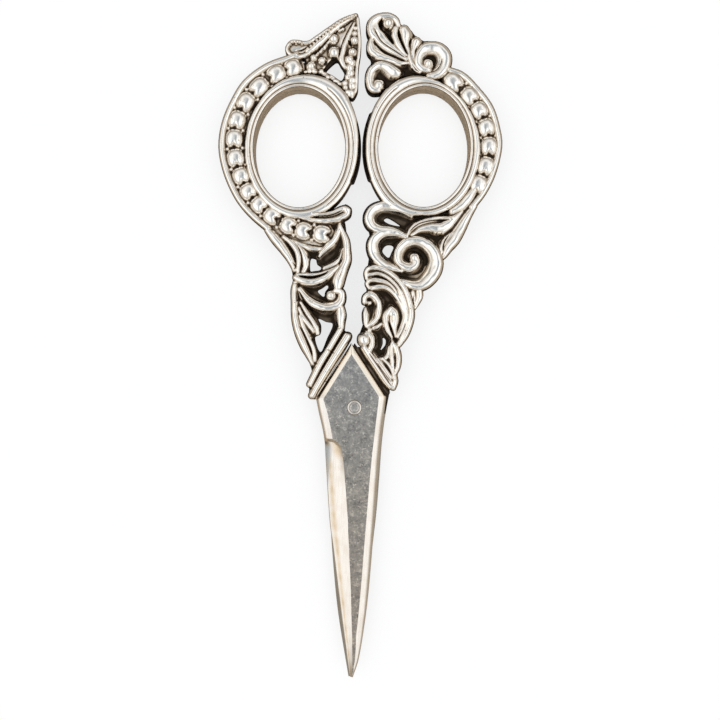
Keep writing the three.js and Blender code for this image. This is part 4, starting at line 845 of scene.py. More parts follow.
# Where the two handles face each other: an arc in degrees, a chased line on it and a strip of ground
GAP_ARC = 60
GAP_POINTS = 15
GAP_LINE_HALF = 0.11
GAP_LINE_DEPTH = 0.22
GAP_LINE_OUTSET = 1.35
GAP_GROUND_HALF = 0.35
GAP_GROUND_OUTSET = 2.35
GAP_GROUND_POINTS = slice(4, 11)
BEAD_RADIUS = 1.60
BEAD_SPACING = 3.0
BEAD_CREST = 2.4
BEAD_FOOT = 1.6
BEAD_FULLNESS = 3.2
NOTCH = 0.30
DEEP_NOTCH = 0.5
CHANNEL_LEVEL = 1.43
TIGHT = 0.15
STUD_RADIUS = 0.34
STUD_CREST = 1.85
STUD_ASIDE = 1.3
GRAIN_RADIUS = 0.27
GRAIN_PITCH = 0.60
GRAIN_CREST = 2.35
GRAIN_FOOT = 1.7


def oval(centre, turns, outset, half):
    """Points round a finger ring, each a given distance outside its opening."""
    turns, outset, half = np.broadcast_arrays(turns, outset, half)
    x = centre[0] + (RING_OPEN[0] / 2 + outset) * np.cos(turns)
    y = centre[1] + (RING_OPEN[1] / 2 + outset) * np.sin(turns)
    return np.stack([x, y, half], 1)


def finger_ring(relief, pattern):
    """A crowned ring with a thin lip round the opening; the crown's width changes on its way round."""
    ring = pattern["ring"]
    turns = np.linspace(0, 2 * math.pi, RING_POINTS)
    angles, outsets = np.array(pattern["ring_edge"]).T
    outer = np.interp(np.degrees(turns), angles, outsets, period=360)
    inner = 2 * LIP_HALF
    crown = oval(ring, turns, (outer + inner) / 2, (outer - inner) / 2)
    relief.strand(LIP_CREST, 0, oval(ring, turns, LIP_HALF, LIP_HALF), LIP_FOOT, TIGHT)
    relief.strand(RING_CREST, 0, crown, RING_FOOT, TIGHT)
    facing = 0 if pattern["gap_side"] > 0 else 180
    gap = np.radians(np.linspace(-GAP_ARC, GAP_ARC, GAP_POINTS) + facing)
    relief.line(GAP_LINE_HALF, GAP_LINE_DEPTH, oval(ring, gap, GAP_LINE_OUTSET, 0)[:, :2])
    relief.plate(GAP_GROUND_HALF, oval(ring, gap[GAP_GROUND_POINTS], GAP_GROUND_OUTSET, 0)[:, :2])


def bead_row(relief, points, lobed):
    """A heart at each point of the channel, as long as its place allows, and studs between them."""
    places = np.array(points)
    tangent = np.gradient(places, axis=0)
    spacing = np.hypot(*tangent.T)
    for k, (middle, ahead) in enumerate(zip(places, tangent / spacing[:, None])):
        notch = DEEP_NOTCH if k >= len(places) - lobed else NOTCH
        heading = math.atan2(ahead[1], ahead[0])
        longer = spacing[k] / BEAD_SPACING
        relief.boss(*middle, BEAD_RADIUS, BEAD_CREST, BEAD_FOOT, longer, heading, notch, BEAD_FULLNESS)
    for a, b in zip(places[:-1], places[1:]):
        ahead = (b - a) / np.hypot(*(b - a))
        for side in (-STUD_ASIDE, STUD_ASIDE):
            middle = (a + b) / 2 + side * np.array([-ahead[1], ahead[0]])
            relief.boss(*middle, STUD_RADIUS, STUD_CREST, CHANNEL_LEVEL)


def grain_row(relief, points):
    """A row of small grains set close together."""
    path = smooth(points)
    gaps = np.hypot(*np.diff(path, axis=0).T)
    run = np.concatenate([[0], np.cumsum(gaps)])
    for at in np.linspace(0, run[-1], int(gaps.sum() / GRAIN_PITCH)):
        x, y = (np.interp(at, run, path[:, k]) for k in (0, 1))
        relief.boss(x, y, GRAIN_RADIUS, GRAIN_CREST, GRAIN_FOOT)


print("beads", len(LEFT_BEAD_ROW), "left and", len(RIGHT_BEAD_ROW), "right")

# %% [markdown]
# Each handle's relief is laid down from the bottom up. First come the ground, the flat fields, the
# strands and their balls, and then the sheet bridges its slits and takes its hammering. The crisp work
# follows: the bars at the blade, the grains, the bead channel, the finger ring, the rim and the beads.
# The chased lines and the pierced openings are cut last. On the back the openings lie a little farther
# from the middle of the picture, so that the camera sees through both shells.

# %% Strike
RIM_HALF = 0.58
RIM_CREST = 2.15
CHANNEL_HALF = 2.0
CHANNEL_DISH = 0.02
SPARE_EDGE = 0.6


def strike(pattern, pitch, flare):
    """The whole relief of one handle; its openings flare away from the middle of the picture."""
    low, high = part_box(pattern["node"])
    corner = (low.x / MM - SPARE_EDGE, low.y / MM - SPARE_EDGE)
    end = (high.x / MM + SPARE_EDGE, high.y / MM + SPARE_EDGE)
    relief = Relief(corner, end, pitch)
    for outline in pattern["ground"]:
        relief.ground(outline)
    for level, outline in pattern["fields"]:
        relief.field(level, outline)
    for crest, lean, points in pattern["strands"].values():
        relief.strand(crest, lean, points)
    for x, y, radius, crest in pattern["balls"]:
        relief.boss(x, y, radius, crest)
    relief.bridge()
    relief.hammer()
    for crest, lean, points in pattern["bars"].values():
        relief.strand(crest, lean, points, SIDE, TIGHT)
    for points in pattern["grains"]:
        grain_row(relief, points)
    channel = [(*p, CHANNEL_HALF) for p in pattern["bead_row"]]
    relief.strand(CHANNEL_LEVEL, 0, channel, CHANNEL_LEVEL - CHANNEL_DISH, TIGHT)
    finger_ring(relief, pattern)
    relief.strand(RIM_CREST, 0, [(*p, RIM_HALF) for p in pattern["rim"]], SIDE, TIGHT)
    bead_row(relief, pattern["bead_row"], pattern["lobed"])
    for half_width, depth, points in pattern["lines"]:
        relief.line(half_width, depth, points)
    for outline in pattern["piercings"]:
        relief.pierce(np.array(CAMERA_AT) + flare * (np.array(outline) - CAMERA_AT))
    relief.inside = np.minimum(relief.inside, -relief.hole)
    return relief


left = {
    "node": "left_handle_front_shell",
    "ring": (-10.27, 44.0),
    "gap_side": 1,
    "ring_edge": LEFT_RING_EDGE,
    "rim": LEFT_RIM,
    "bead_row": LEFT_BEAD_ROW,
    "lobed": 4,
    "strands": {**LEFT_SHANK, **LEFT_FINIAL},
    "bars": LEFT_BARS,
    "balls": LEFT_BALLS,
    "grains": LEFT_GRAINS,
    "fields": LEFT_FIELDS,
    "lines": LEFT_LINES,
    "piercings": LEFT_PIERCINGS,
    "ground": LEFT_GROUND,
}
right = {
    "node": "right_handle_front_shell",
    "ring": (10.9, 44.5),
    "gap_side": -1,
    "ring_edge": RIGHT_RING_EDGE,
    "rim": RIGHT_RIM,
    "bead_row": RIGHT_BEAD_ROW,
    "lobed": 0,
    "strands": {**RIGHT_SHANK, **RIGHT_FINIAL},
    "bars": RIGHT_BARS,
    "balls": RIGHT_BALLS,
    "grains": [],
    "fields": RIGHT_FIELDS,
    "lines": RIGHT_LINES,
    "piercings": RIGHT_PIERCINGS,
    "ground": RIGHT_GROUND,
}
print("strands", len(left["strands"]), "left and", len(right["strands"]), "right")

# %% [markdown]
# The tarnish of a point depends on shelter: how far it lies below the average of its surroundings, near
# and wide, how steep and how low it is and whether a tool cut it. A band along the outline is darkened
# too: patina and painted shade, where the surface turns down at the edge.
# Averages over a mask give that without any ray casting.

# %% Shelter
NEAR_REACH = 0.12
WIDE_REACH = 0.5
CREASE_DEPTH = 0.12
HOLLOW_DEPTH = 0.6
STEEP_FALL = (0.8, 2.5)
LOW_LEVEL = (1.5, 1.1)
FULL_CUT = 0.4
EDGE_BAND = 0.16
# How much each kind of shelter darkens the silver
CREASE_TONE = 0.64
HOLLOW_TONE = 0.40
STEEP_TONE = 0.10
LOW_TONE = 0.72
CUT_TONE = 0.40
# The band along the outline: patina and painted shade where the surface turns down
EDGE_PATINA_AND_SHADE = 0.24
SHARP_SHARE = 0.7
SOFT_SHARE = 0.3


def shelter(relief):
    """Tarnish, and painted shade along the outline, from 0 to 1 at each point of the grid."""
    mask = relief.inside > 0
    height = relief.height - relief.cut
    near = soften(height, mask, NEAR_REACH, relief.pitch)
    wide = soften(height, mask, WIDE_REACH, relief.pitch)
    crease = np.clip((near - height) / CREASE_DEPTH, 0, 1)
    hollow = np.clip((wide - height) / HOLLOW_DEPTH, 0, 1)
    steep = step(*STEEP_FALL, np.hypot(*np.gradient(near, relief.pitch)))
    low = step(*LOW_LEVEL, height)
    cut = np.clip(relief.cut / FULL_CUT, 0, 1)
    # Band along the outline: patina and painted shade
    edge = step(EDGE_BAND, 0.0, relief.inside)
    tone = CREASE_TONE * crease + HOLLOW_TONE * hollow + STEEP_TONE * steep + LOW_TONE * low
    tone += CUT_TONE * cut + EDGE_PATINA_AND_SHADE * edge
    tone = SHARP_SHARE * tone + SOFT_SHARE * soften(tone, mask, relief.pitch, relief.pitch)
    return np.clip(tone, 0, 1)


print("shelter ready")

# %% [markdown]
# Marching squares turns the grid into faces: a square that the outline crosses is clipped along it, so
# the edge is smooth and not a staircase. The points on the outline are then evened out and marked sharp,
# so that the top and the sides shade apart.

# %% Faces from the grid
# How near to a grid point the outline may cross, and how often the outline is averaged
CROSSING = (0.08, 0.92)
EVEN_PASSES = 2


def clipped_faces(keep):
    """Faces of the part of the grid where keep is above 0, counter-clockwise, as point numbers."""
    rows, columns = keep.shape
    point = np.arange(rows * columns).reshape(rows, columns)
    on_row = point.size + np.arange(rows * (columns - 1)).reshape(rows, columns - 1)
    on_column = point.size + on_row.size + np.arange((rows - 1) * columns).reshape(rows - 1, columns)
    corner = [point[:-1, :-1], point[:-1, 1:], point[1:, 1:], point[1:, :-1]]
    edge = [on_row[:-1], on_column[:, 1:], on_row[1:], on_column[:, :-1]]
    kept = keep > 0
    signs = [kept[:-1, :-1], kept[:-1, 1:], kept[1:, 1:], kept[1:, :-1]]
    case = sum(sign.astype(int) << k for k, sign in enumerate(signs))
    faces = []
    for number in range(1, 16):
        cells = case == number
        loop = []
        for k in range(4):
            here, there = number >> k & 1, number >> (k + 1) % 4 & 1
            if here:
                loop.append(corner[k][cells])
            if here != there:
                loop.append(edge[k][cells])
        faces.extend(np.stack(loop, 1).tolist())
    return faces


def with_crossings(values, keep, pick):
    """Grid values, followed by values where the outline crosses each row and column edge."""
    found = [values.ravel()]
    for a, b in (((slice(None), slice(None, -1)), (slice(None), slice(1, None))),
                 ((slice(None, -1), slice(None)), (slice(1, None), slice(None)))):
        found.append(pick(values[a], values[b], keep[a], keep[b]).ravel())
    return np.concatenate(found)


def between(va, vb, ka, kb):
    """The value at the crossing itself."""
    share = np.clip(ka / np.where(ka == kb, 1, ka - kb), *CROSSING)
    return va + share * (vb - va)


def inner(va, vb, ka, kb):
    """The value at the grid point inside the crossing."""
    return np.where(ka > 0, va, vb)


def even_out(border, *coordinates):
    """Averages along the outline, so that its sides shade smoothly."""
    ahead = dict(border)
    here = np.array([a for a, b in border if b in ahead])
    middle = np.array([ahead[a] for a in here])
    after = np.array([ahead[ahead[a]] for a in here])
    for values in coordinates:
        for _ in range(EVEN_PASSES):
            values[middle] = 0.25 * values[here] + 0.5 * values[middle] + 0.25 * values[after]


def crisp(mesh, border):
    """Marks the outline as a sharp edge, so that top and sides shade apart."""
    ends = np.zeros(2 * len(mesh.edges), np.int64)
    mesh.edges.foreach_get("vertices", ends)
    ends = np.sort(ends.reshape(-1, 2), axis=1)
    wanted = np.sort(np.array(border), axis=1)
    size = len(mesh.vertices)
    sharp = np.zeros(len(ends), bool)
    mesh.edges.foreach_get("use_edge_sharp", sharp)
    sharp |= np.isin(ends[:, 0] * size + ends[:, 1], wanted[:, 0] * size + wanted[:, 1])
    mesh.edges.foreach_set("use_edge_sharp", sharp)


print("faces for a square of 3 by 3 points:", len(clipped_faces(np.ones((3, 3)))))

# %% [markdown]
# The struck top gets sides down to the seam, and the same faces, turned over, close the underside. The
# sides are dark, as patina and as painted shade for the shade between the handles and in the openings,
# and the inner walls of the rings, which fingers rub, get much less of that. On the back shells the
# sides lean outwards by about the slope of the camera's line of sight, because the photograph shows
# little of them.

# %% Shells
SOLDER_GAP = 0.02
# Sides: patina and painted shade; the inner walls of the rings get much less of it
WALL_PATINA_AND_SHADE = 0.78
FINGER_WALL_PATINA_AND_SHADE = 0.29
LIP_TONE = 0.22
SHARP_HEIGHT = 0.2
SOFT_HEIGHT = 0.8
SHELL_SHARP_ANGLE = 70
# Distances from a ring's middle, as shares of the opening's width and height
RING_WALL = 0.52
LEAN_FROM = (0.56, 0.68)
STRIKES = [
    {"face": "front", "facing": 1, "pitch": 0.08, "flare": 1.0, "taper": 0.0},
    {"face": "back", "facing": -1, "pitch": 0.14, "flare": 1.009, "taper": 0.0063},
]


def add_piece(name, points, faces, material, sharp_angle=None, **tones):
    """A smooth object of one material, with a number stored at each point under each given name."""
    mesh = bpy.data.meshes.new(name)
    mesh.from_pydata(points, [], faces)
    for tone, values in tones.items():
        mesh.attributes.new(tone, "FLOAT", "POINT").data.foreach_set("value", np.asarray(values, np.float32))
    mesh.polygons.foreach_set("use_smooth", [True] * len(faces))
    if sharp_angle:
        mesh.set_sharp_from_angle(angle=math.radians(sharp_angle))
    mesh.materials.append(material)
    piece = bpy.data.objects.new(name, mesh)
    bpy.context.scene.collection.objects.link(piece)
    print(name, len(faces), "faces")
    return piece


def silver_shell(name, relief, facing, ring, taper):
    """One closed half of a handle, struck towards the front (1) or the back (-1)."""
    keep = relief.inside
    height = relief.height - relief.cut
    height = SHARP_HEIGHT * height + SOFT_HEIGHT * soften(height, keep > 0, relief.pitch, relief.pitch)
    faces = clipped_faces(keep)
    used, where = np.unique(np.concatenate([np.array(face) for face in faces]), return_inverse=True)
    starts = np.cumsum([0] + [len(face) for face in faces])
    top = [where[a:b].tolist() for a, b in zip(starts[:-1], starts[1:])]
    count = len(used)
    x, y = (with_crossings(grid, keep, between)[used] for grid in (relief.x, relief.y))
    level = with_crossings(height, keep, inner)
    level[height.size:] = np.minimum(level[height.size:], SIDE)
    top_z = level[used]
    tone = with_crossings(shelter(relief), keep, inner)[used]
    from_ring = np.hypot((x - ring[0]) / RING_OPEN[0], (y - ring[1]) / RING_OPEN[1])
    # Painted shade with patina on the sides, much less on the rings' inner walls
    wall_patina_and_shade = np.where(from_ring < RING_WALL, FINGER_WALL_PATINA_AND_SHADE, WALL_PATINA_AND_SHADE)
    directed = set()
    for face in top:
        directed.update(zip(face, face[1:] + face[:1]))
    border = sorted((a, b) for a, b in directed if (b, a) not in directed)
    even_out(border, x, y, top_z, tone)
    on_lip = np.unique(border)
    on_lip = on_lip[from_ring[on_lip] < RING_WALL]
    top_z[on_lip] = LIP_FOOT
    tone[on_lip] = LIP_TONE
    sides = [[b, a, a + count, b + count] for a, b in border]
    bottom = [[v + count for v in reversed(face)] for face in top]
    every = top + sides + bottom
    if facing < 0:
        every = [list(reversed(face)) for face in every]
    heights = np.concatenate([top_z, np.full(count, SOLDER_GAP)]) * facing + seam
    spread = 1 + taper * top_z * step(*LEAN_FROM, from_ring)
    face_x = CAMERA_AT[0] + spread * (x - CAMERA_AT[0])
    face_y = CAMERA_AT[1] + spread * (y - CAMERA_AT[1])
    positions = np.stack([np.append(face_x, x), np.append(face_y, y), heights], 1) * MM
    tarnish = np.concatenate([tone, wall_patina_and_shade])
    shell = add_piece(name, positions.tolist(), every, silver, SHELL_SHARP_ANGLE, tarnish=tarnish)
    crisp(shell.data, border)
    return shell


for side, pattern, body in (("left", left, "front_half"), ("right", right, "rear_half")):
    for blow in STRIKES:
        face = blow["face"]
        relief = strike(pattern, blow["pitch"], blow["flare"])
        shell = silver_shell(f"{side}_{face}_silver", relief, blow["facing"], pattern["ring"], blow["taper"])
        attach(shell, body)
        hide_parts(f"{side}_handle_{face}_shell")

# %% [markdown]
# The blades are old ground steel. The flat keeps a dull grey skin with specks and stray scratches, and
# the bevels, ground last, are brighter, most of all on the gable, where they are buffed and a cream
# sheen is painted on them. One material does it all: the blade stores "polish" at each point, 0 on the
# flat and 1 on the bevels, and the steel mixes its looks by it. A second number tints the steel tan and
# then dark: it holds grime, and also painted shade, painted shadow and painted reflection.

# %% Steel
DULL_STOPS = [
    (0.34, (0.19, 0.19, 0.195)),
    (0.48, (0.335, 0.335, 0.335)),
    (0.57, (0.40, 0.396, 0.388)),
    (0.72, (0.60, 0.585, 0.56)),
]
TINT_STOPS = [(0.0, (1.10, 0.965, 0.83)), (0.5, (1.07, 0.985, 0.88)), (1.0, (1.02, 1.00, 0.97))]
BRIGHT_STOPS = [(0.30, (0.66, 0.60, 0.53)), (0.45, (0.75, 0.715, 0.67)), (0.65, (0.79, 0.77, 0.735))]
SOIL_AND_SHADE_STOPS = [
    (0.00, WHITE),
    (0.25, (0.86, 0.76, 0.62)),
    (0.50, (0.50, 0.40, 0.30)),
    (1.00, (0.06, 0.045, 0.035)),
]
SCRATCH_COLOUR = (0.80, 0.78, 0.74, 1.0)
STAIN_COLOUR = (0.56, 0.43, 0.31, 1.0)
CREAM_SHEEN_COLOUR = (0.97, 0.90, 0.79, 1.0)
# Scales count blotches to the metre, about; ranges give from and to, then what they become
GRAIN_SCALE = 3600.0
GRAIN_SHARE = 0.56
MOTTLE_SCALE = 650.0
MOTTLE_SHARE = 0.46
CURL_SCALE = 2700.0
CURL_MIDDLE = 0.5
SCRATCH_SHOWN = (0.0, 0.09, 1.0, 0.0)
SCRATCHED_SCALE = 1500.0
SCRATCHED_PARTS = (0.52, 0.62, 0.0, 0.9)
GRIND_SCALE = 900.0
GRIND_STRETCH = (6.0, 0.35, 1.0)
STAIN_SCALE = 420.0
STAINED_PARTS = (0.46, 0.64, 0.0, 0.16)
STEEL_ROUGHNESS = (0.0, 1.0, 0.32, 0.20)
SKIN_BUMP = 0.22
# Places along the blade between which the tint and the painted cream sheen change
TINT_ALONG = (-35.0, 5.0)
CREAM_SHEEN_ALONG = (1.2, 2.6)


def ground_steel():
    finish = bpy.data.materials.new("ground_steel")
    tree = node_tree(finish)
    place = add_node(tree, "TexCoord").outputs["Object"]
    up = add_node(tree, "SeparateXYZ", place).outputs["Y"]
    mottle = figure(tree, "MULTIPLY", noise(tree, place, MOTTLE_SCALE, Detail=3.0), MOTTLE_SHARE)
    grain = noise(tree, place, GRAIN_SCALE, Detail=2.0, Roughness=0.6)
    skin = figure(tree, "MULTIPLY_ADD", grain, GRAIN_SHARE, mottle)
    curl = noise(tree, place, CURL_SCALE, Detail=0.5, Distortion=1.0)
    off_middle = figure(tree, "ABSOLUTE", figure(tree, "SUBTRACT", curl, CURL_MIDDLE))
    parts = remap(tree, noise(tree, place, SCRATCHED_SCALE, Detail=1.0), *SCRATCHED_PARTS)
    scratches = figure(tree, "MULTIPLY", remap(tree, off_middle, *SCRATCH_SHOWN), parts)
    scratched = colour_mix(tree, scratches, colour_ramp(tree, skin, DULL_STOPS), SCRATCH_COLOUR)
    tint = colour_ramp(tree, remap(tree, up, *(y * MM for y in TINT_ALONG)), TINT_STOPS)
    flat = multiplied(tree, scratched, tint)
    stretched = add_node(tree, "Mapping", place, Scale=GRIND_STRETCH).outputs["Vector"]
    grind = noise(tree, stretched, GRIND_SCALE, Detail=5.0, Roughness=0.75)
    stain = remap(tree, noise(tree, place, STAIN_SCALE, Detail=3.0), *STAINED_PARTS)
    stained = colour_mix(tree, stain, colour_ramp(tree, grind, BRIGHT_STOPS), STAIN_COLOUR)
    # A cream sheen painted on the gable's bevels
    gable = remap(tree, up, *(y * MM for y in CREAM_SHEEN_ALONG))
    bevel = colour_mix(tree, gable, stained, CREAM_SHEEN_COLOUR)
    polish = stored(tree, "polish")
    # Grime together with painted shade, shadow and reflection, stored at each point
    soil_and_shade = colour_ramp(tree, stored(tree, "grime"), SOIL_AND_SHADE_STOPS)
    colour = multiplied(tree, colour_mix(tree, polish, flat, bevel), soil_and_shade)
    bump = add_node(tree, "Bump", Strength=SKIN_BUMP, Distance=BUMP_DEPTH * MM, Height=skin)
    metal = add_node(
        tree, "BsdfPrincipled", colour, Metallic=1.0, Roughness=remap(tree, polish, *STEEL_ROUGHNESS),
        Normal=bump.outputs["Normal"],
    )
    add_node(tree, "OutputMaterial", metal.outputs[0])
    return finish


steel = ground_steel()
print("made", steel.name)

# %% [markdown]
# Seen from the front a blade is three lines: a gable that points into the handle, a cutting edge and a
# back. The rear blade is drawn with fewer points, because the front one hides most of it. Pairs of a
# place along the blade and a size there give the thickness, the widths of the bevel and of the back
# chamfer, and the shape of the hollow.

# %% Blade outlines
FRONT_BLADE = {
    "gable": [(-6.95, 1.3), (4.96, 1.92), (-1.18, 10.95)],
    "cut": [(-6.95, 1.3), (-6.4, -1.2), (-5.8, -3.6), (-5.35, -6.0), (-5.1, -9.3), (-4.25, -19.5),
            (-3.5, -24.5), (-1.85, -35.8), (-0.2, -46.3)],
    "back": [(4.96, 1.92), (4.34, -4.5), (4.02, -8.3), (3.42, -19.4), (2.75, -30.6), (2.15, -36.8),
             (1.24, -43.1), (0.3, -46.3)],
}
REAR_BLADE = {
    "gable": [(-5.6, 2.9), (4.9, 3.9), (0.6, 10.95)],
    "cut": [(-5.6, 2.9), (-4.9, -1.4), (-4.42, -6.0), (-4.1, -12.0), (-3.6, -19.5), (-1.85, -36.0),
            (-0.2, -46.3)],
    "back": [(4.9, 3.9), (4.75, 0.0), (4.6, -6.0), (4.1, -19.5), (3.3, -28.6), (2.35, -36.0),
             (0.45, -46.3)],
}
BEVEL_WIDTHS = [
    (-46.3, 0.4), (-43.2, 0.86), (-38.9, 1.4), (-31.6, 2.16), (-24.3, 2.75), (-19.5, 3.2), (-14.6, 3.2),
    (-8.6, 3.05), (-6.95, 2.8), (-6.5, 2.6), (-6.04, 2.2), (-5.7, 1.8), (-5.4, 1.45), (-1.0, 1.5),
    (1.5, 1.25), (11.0, 1.25),
]
BACK_WIDTHS = [
    (-46.3, 0.1), (-44.2, 0.54), (-38.9, 1.2), (-32.6, 1.4), (-24.3, 1.45), (-14.5, 1.4), (-5.3, 1.25),
    (11.0, 1.25),
]
TIP_Y = -46.3
TAPER_FROM = -6.0
TIP_THICK = 0.5
BLADE_THICK = 1.7
THICKNESS = [(TIP_Y, TIP_THICK), (TAPER_FROM, BLADE_THICK)]
# Level of the cutting edge, and how sharply the hollow bends
HOLLOW_EDGE = [(-46.3, 0.16), (-25.0, 0.20), (-15.0, 0.42), (-10.0, 0.68), (-6.5, 0.98), (-5.4, 1.1)]
HOLLOW_BEND = [(-46.3, 1.1), (-20.0, 1.15), (-13.5, 1.4), (-9.5, 2.3), (-6.0, 3.5)]
# Share of a worn chamfer's drop, from the flat at 0 to its outer edge at 1: shallow first, then steep
WEAR = [(0.0, 0.0), (0.5, 0.27), (0.7, 0.45), (0.85, 0.67), (1.0, 1.0)]


def read_off(pairs, at):
    """The size at a place, from pairs of place and size."""
    return np.interp(at, *np.array(pairs).T)


def edge_of(points, corner, apex, y):
    """How far out an edge lies: straight up the gable to its apex, and curved below the gable's corner."""
    path = smooth(points)
    order = np.argsort(path[:, 1])
    gable = apex[0] + (corner[0] - apex[0]) * (apex[1] - y) / (apex[1] - corner[1])
    return np.where(y > corner[1], gable, np.interp(y, path[order, 1], path[order, 0]))


print("bevel", read_off(BEVEL_WIDTHS, TAPER_FROM).round(2), "mm wide at the scoop")

# %% [markdown]
# A blade is a row of cross-sections from the point of its gable to the tip. Each section runs from the
# cutting side, over the bevel, the flat and the back chamfer, and returns along the inner face. Above
# the scoop the bevel is a worn chamfer, and below it the grinding wheel has left a hollow, deepest at the
# top. Old grease stays along the hollow. The same stored tint also holds painted light: a painted shadow
# under the scoop's lip, painted shade with a tan reflection at the top of the scoop, a painted warm
# reflection just under the edge of the flat, and painted shade on the inner face, darkest at the root.
# The outer edges of the gable's chamfers are darker. The rear blade is made the same way: half a turn
# about the long axis puts it behind the seam.

# %% Blades
CENTRE_X = 0.4
SHEAR_HALF = 0.03
GABLE_CHAMFER = 1.25
CHAMFER_DROP = 0.55
EDGE_ROUND = 0.12
EDGE_GROWTH = 0.02
BLADE_SHARP_ANGLE = 14
# Rows of sections: down to the root's end, through the scoop, and on to the tip
ROOT_END = -3.5
ROOT_ROWS = 80
SCOOP_SPAN = (-3.6, -9.5)
SCOOP_ROWS = 70
BODY_TOP = -9.8
BODY_ROWS = 110
BEVEL_STEPS = np.linspace(0, 0.985, 18)
FLAT_STEPS = np.linspace(0, 1, 9)
CHAMFER_STEPS = [0.03, 0.25, 0.5, 0.6, 0.7, 0.78, 0.85, 0.92, 1.0]
# Above this place the chamfers may meet: they leave a sliver of flat, and it sinks with them
ROOT_Y = -3.0
FLAT_LEFT = 0.98
# Where the hollow sets in, and where and how far the back chamfer deepens
HOLLOW_FROM = (-5.2, -6.1)
BACK_DROP = 0.25
BACK_DROP_ALONG = (2.5, -3.0)
BACK_LEAST = 0.18
# Grime and painted light: how strong, where along the blade and where across the bevel. Across, and along
# for the painted shadow under the lip and the painted shade in the scoop, that is a middle and a spread;
# the others set in from one place to another
STREAK = 0.27
STREAK_SWING = 0.09
STREAK_WAVES = (2.1, 0.8)
STREAK_ALONG = (-7.5, -11.0)
STREAK_ACROSS = (0.22, 0.13)
# Painted shadow under the lip at the top of the scoop
LIP_SHADOW = 0.7
LIP_SHADOW_ALONG = (-6.0, 0.6)
LIP_SHADOW_ACROSS = (0.0, 0.3)
# Painted warm reflection along the scoop, just under the edge of the flat
UNDER_LIP_REFLECTION = 0.08
UNDER_LIP_REFLECTION_ALONG = (-11.0, -7.0)
UNDER_LIP_REFLECTION_ACROSS = (0.9, 0.15)
# Painted shade with a painted tan reflection, at the top of the scoop towards the flat
SCOOP_TOP_SHADE = 0.30
SCOOP_TOP_SHADE_ALONG = (-7.3, 1.2)
SCOOP_TOP_SHADE_ACROSS = (0.68, 0.24)
# Darker towards the outer edges of the gable's chamfers
GABLE_RIM_DARKENING = 0.34
GABLE_RIM_ALONG = (0.8, 2.2)
RIM_FALL = 4
# Painted shade on the inner face, darkest at the root where the blades overlap
INNER_SHADE_FROM = -1.0
INNER_ROOT_SHADE = 1.0
INNER_SHADE = 0.35


def bell(value, middle, spread):
    """A soft bump of height 1."""
    return np.exp(-((value - middle) / spread) ** 2)


def bevel_grime(y, hollow):
    """Strengths along the blade of each mark on the bevel, with its place across the bevel: a grease streak,
    a painted shadow under the lip, a painted warm reflection and painted shade in the scoop.
    """
    swing = STREAK_SWING * np.sin(STREAK_WAVES[0] * y) * np.sin(STREAK_WAVES[1] * y)
    return [
        (hollow * step(*STREAK_ALONG, y) * (STREAK + swing), STREAK_ACROSS),
        (LIP_SHADOW * bell(y, *LIP_SHADOW_ALONG), LIP_SHADOW_ACROSS),
        (UNDER_LIP_REFLECTION * hollow * step(*UNDER_LIP_REFLECTION_ALONG, y), UNDER_LIP_REFLECTION_ACROSS),
        (SCOOP_TOP_SHADE * hollow * bell(y, *SCOOP_TOP_SHADE_ALONG), SCOOP_TOP_SHADE_ACROSS),
    ]


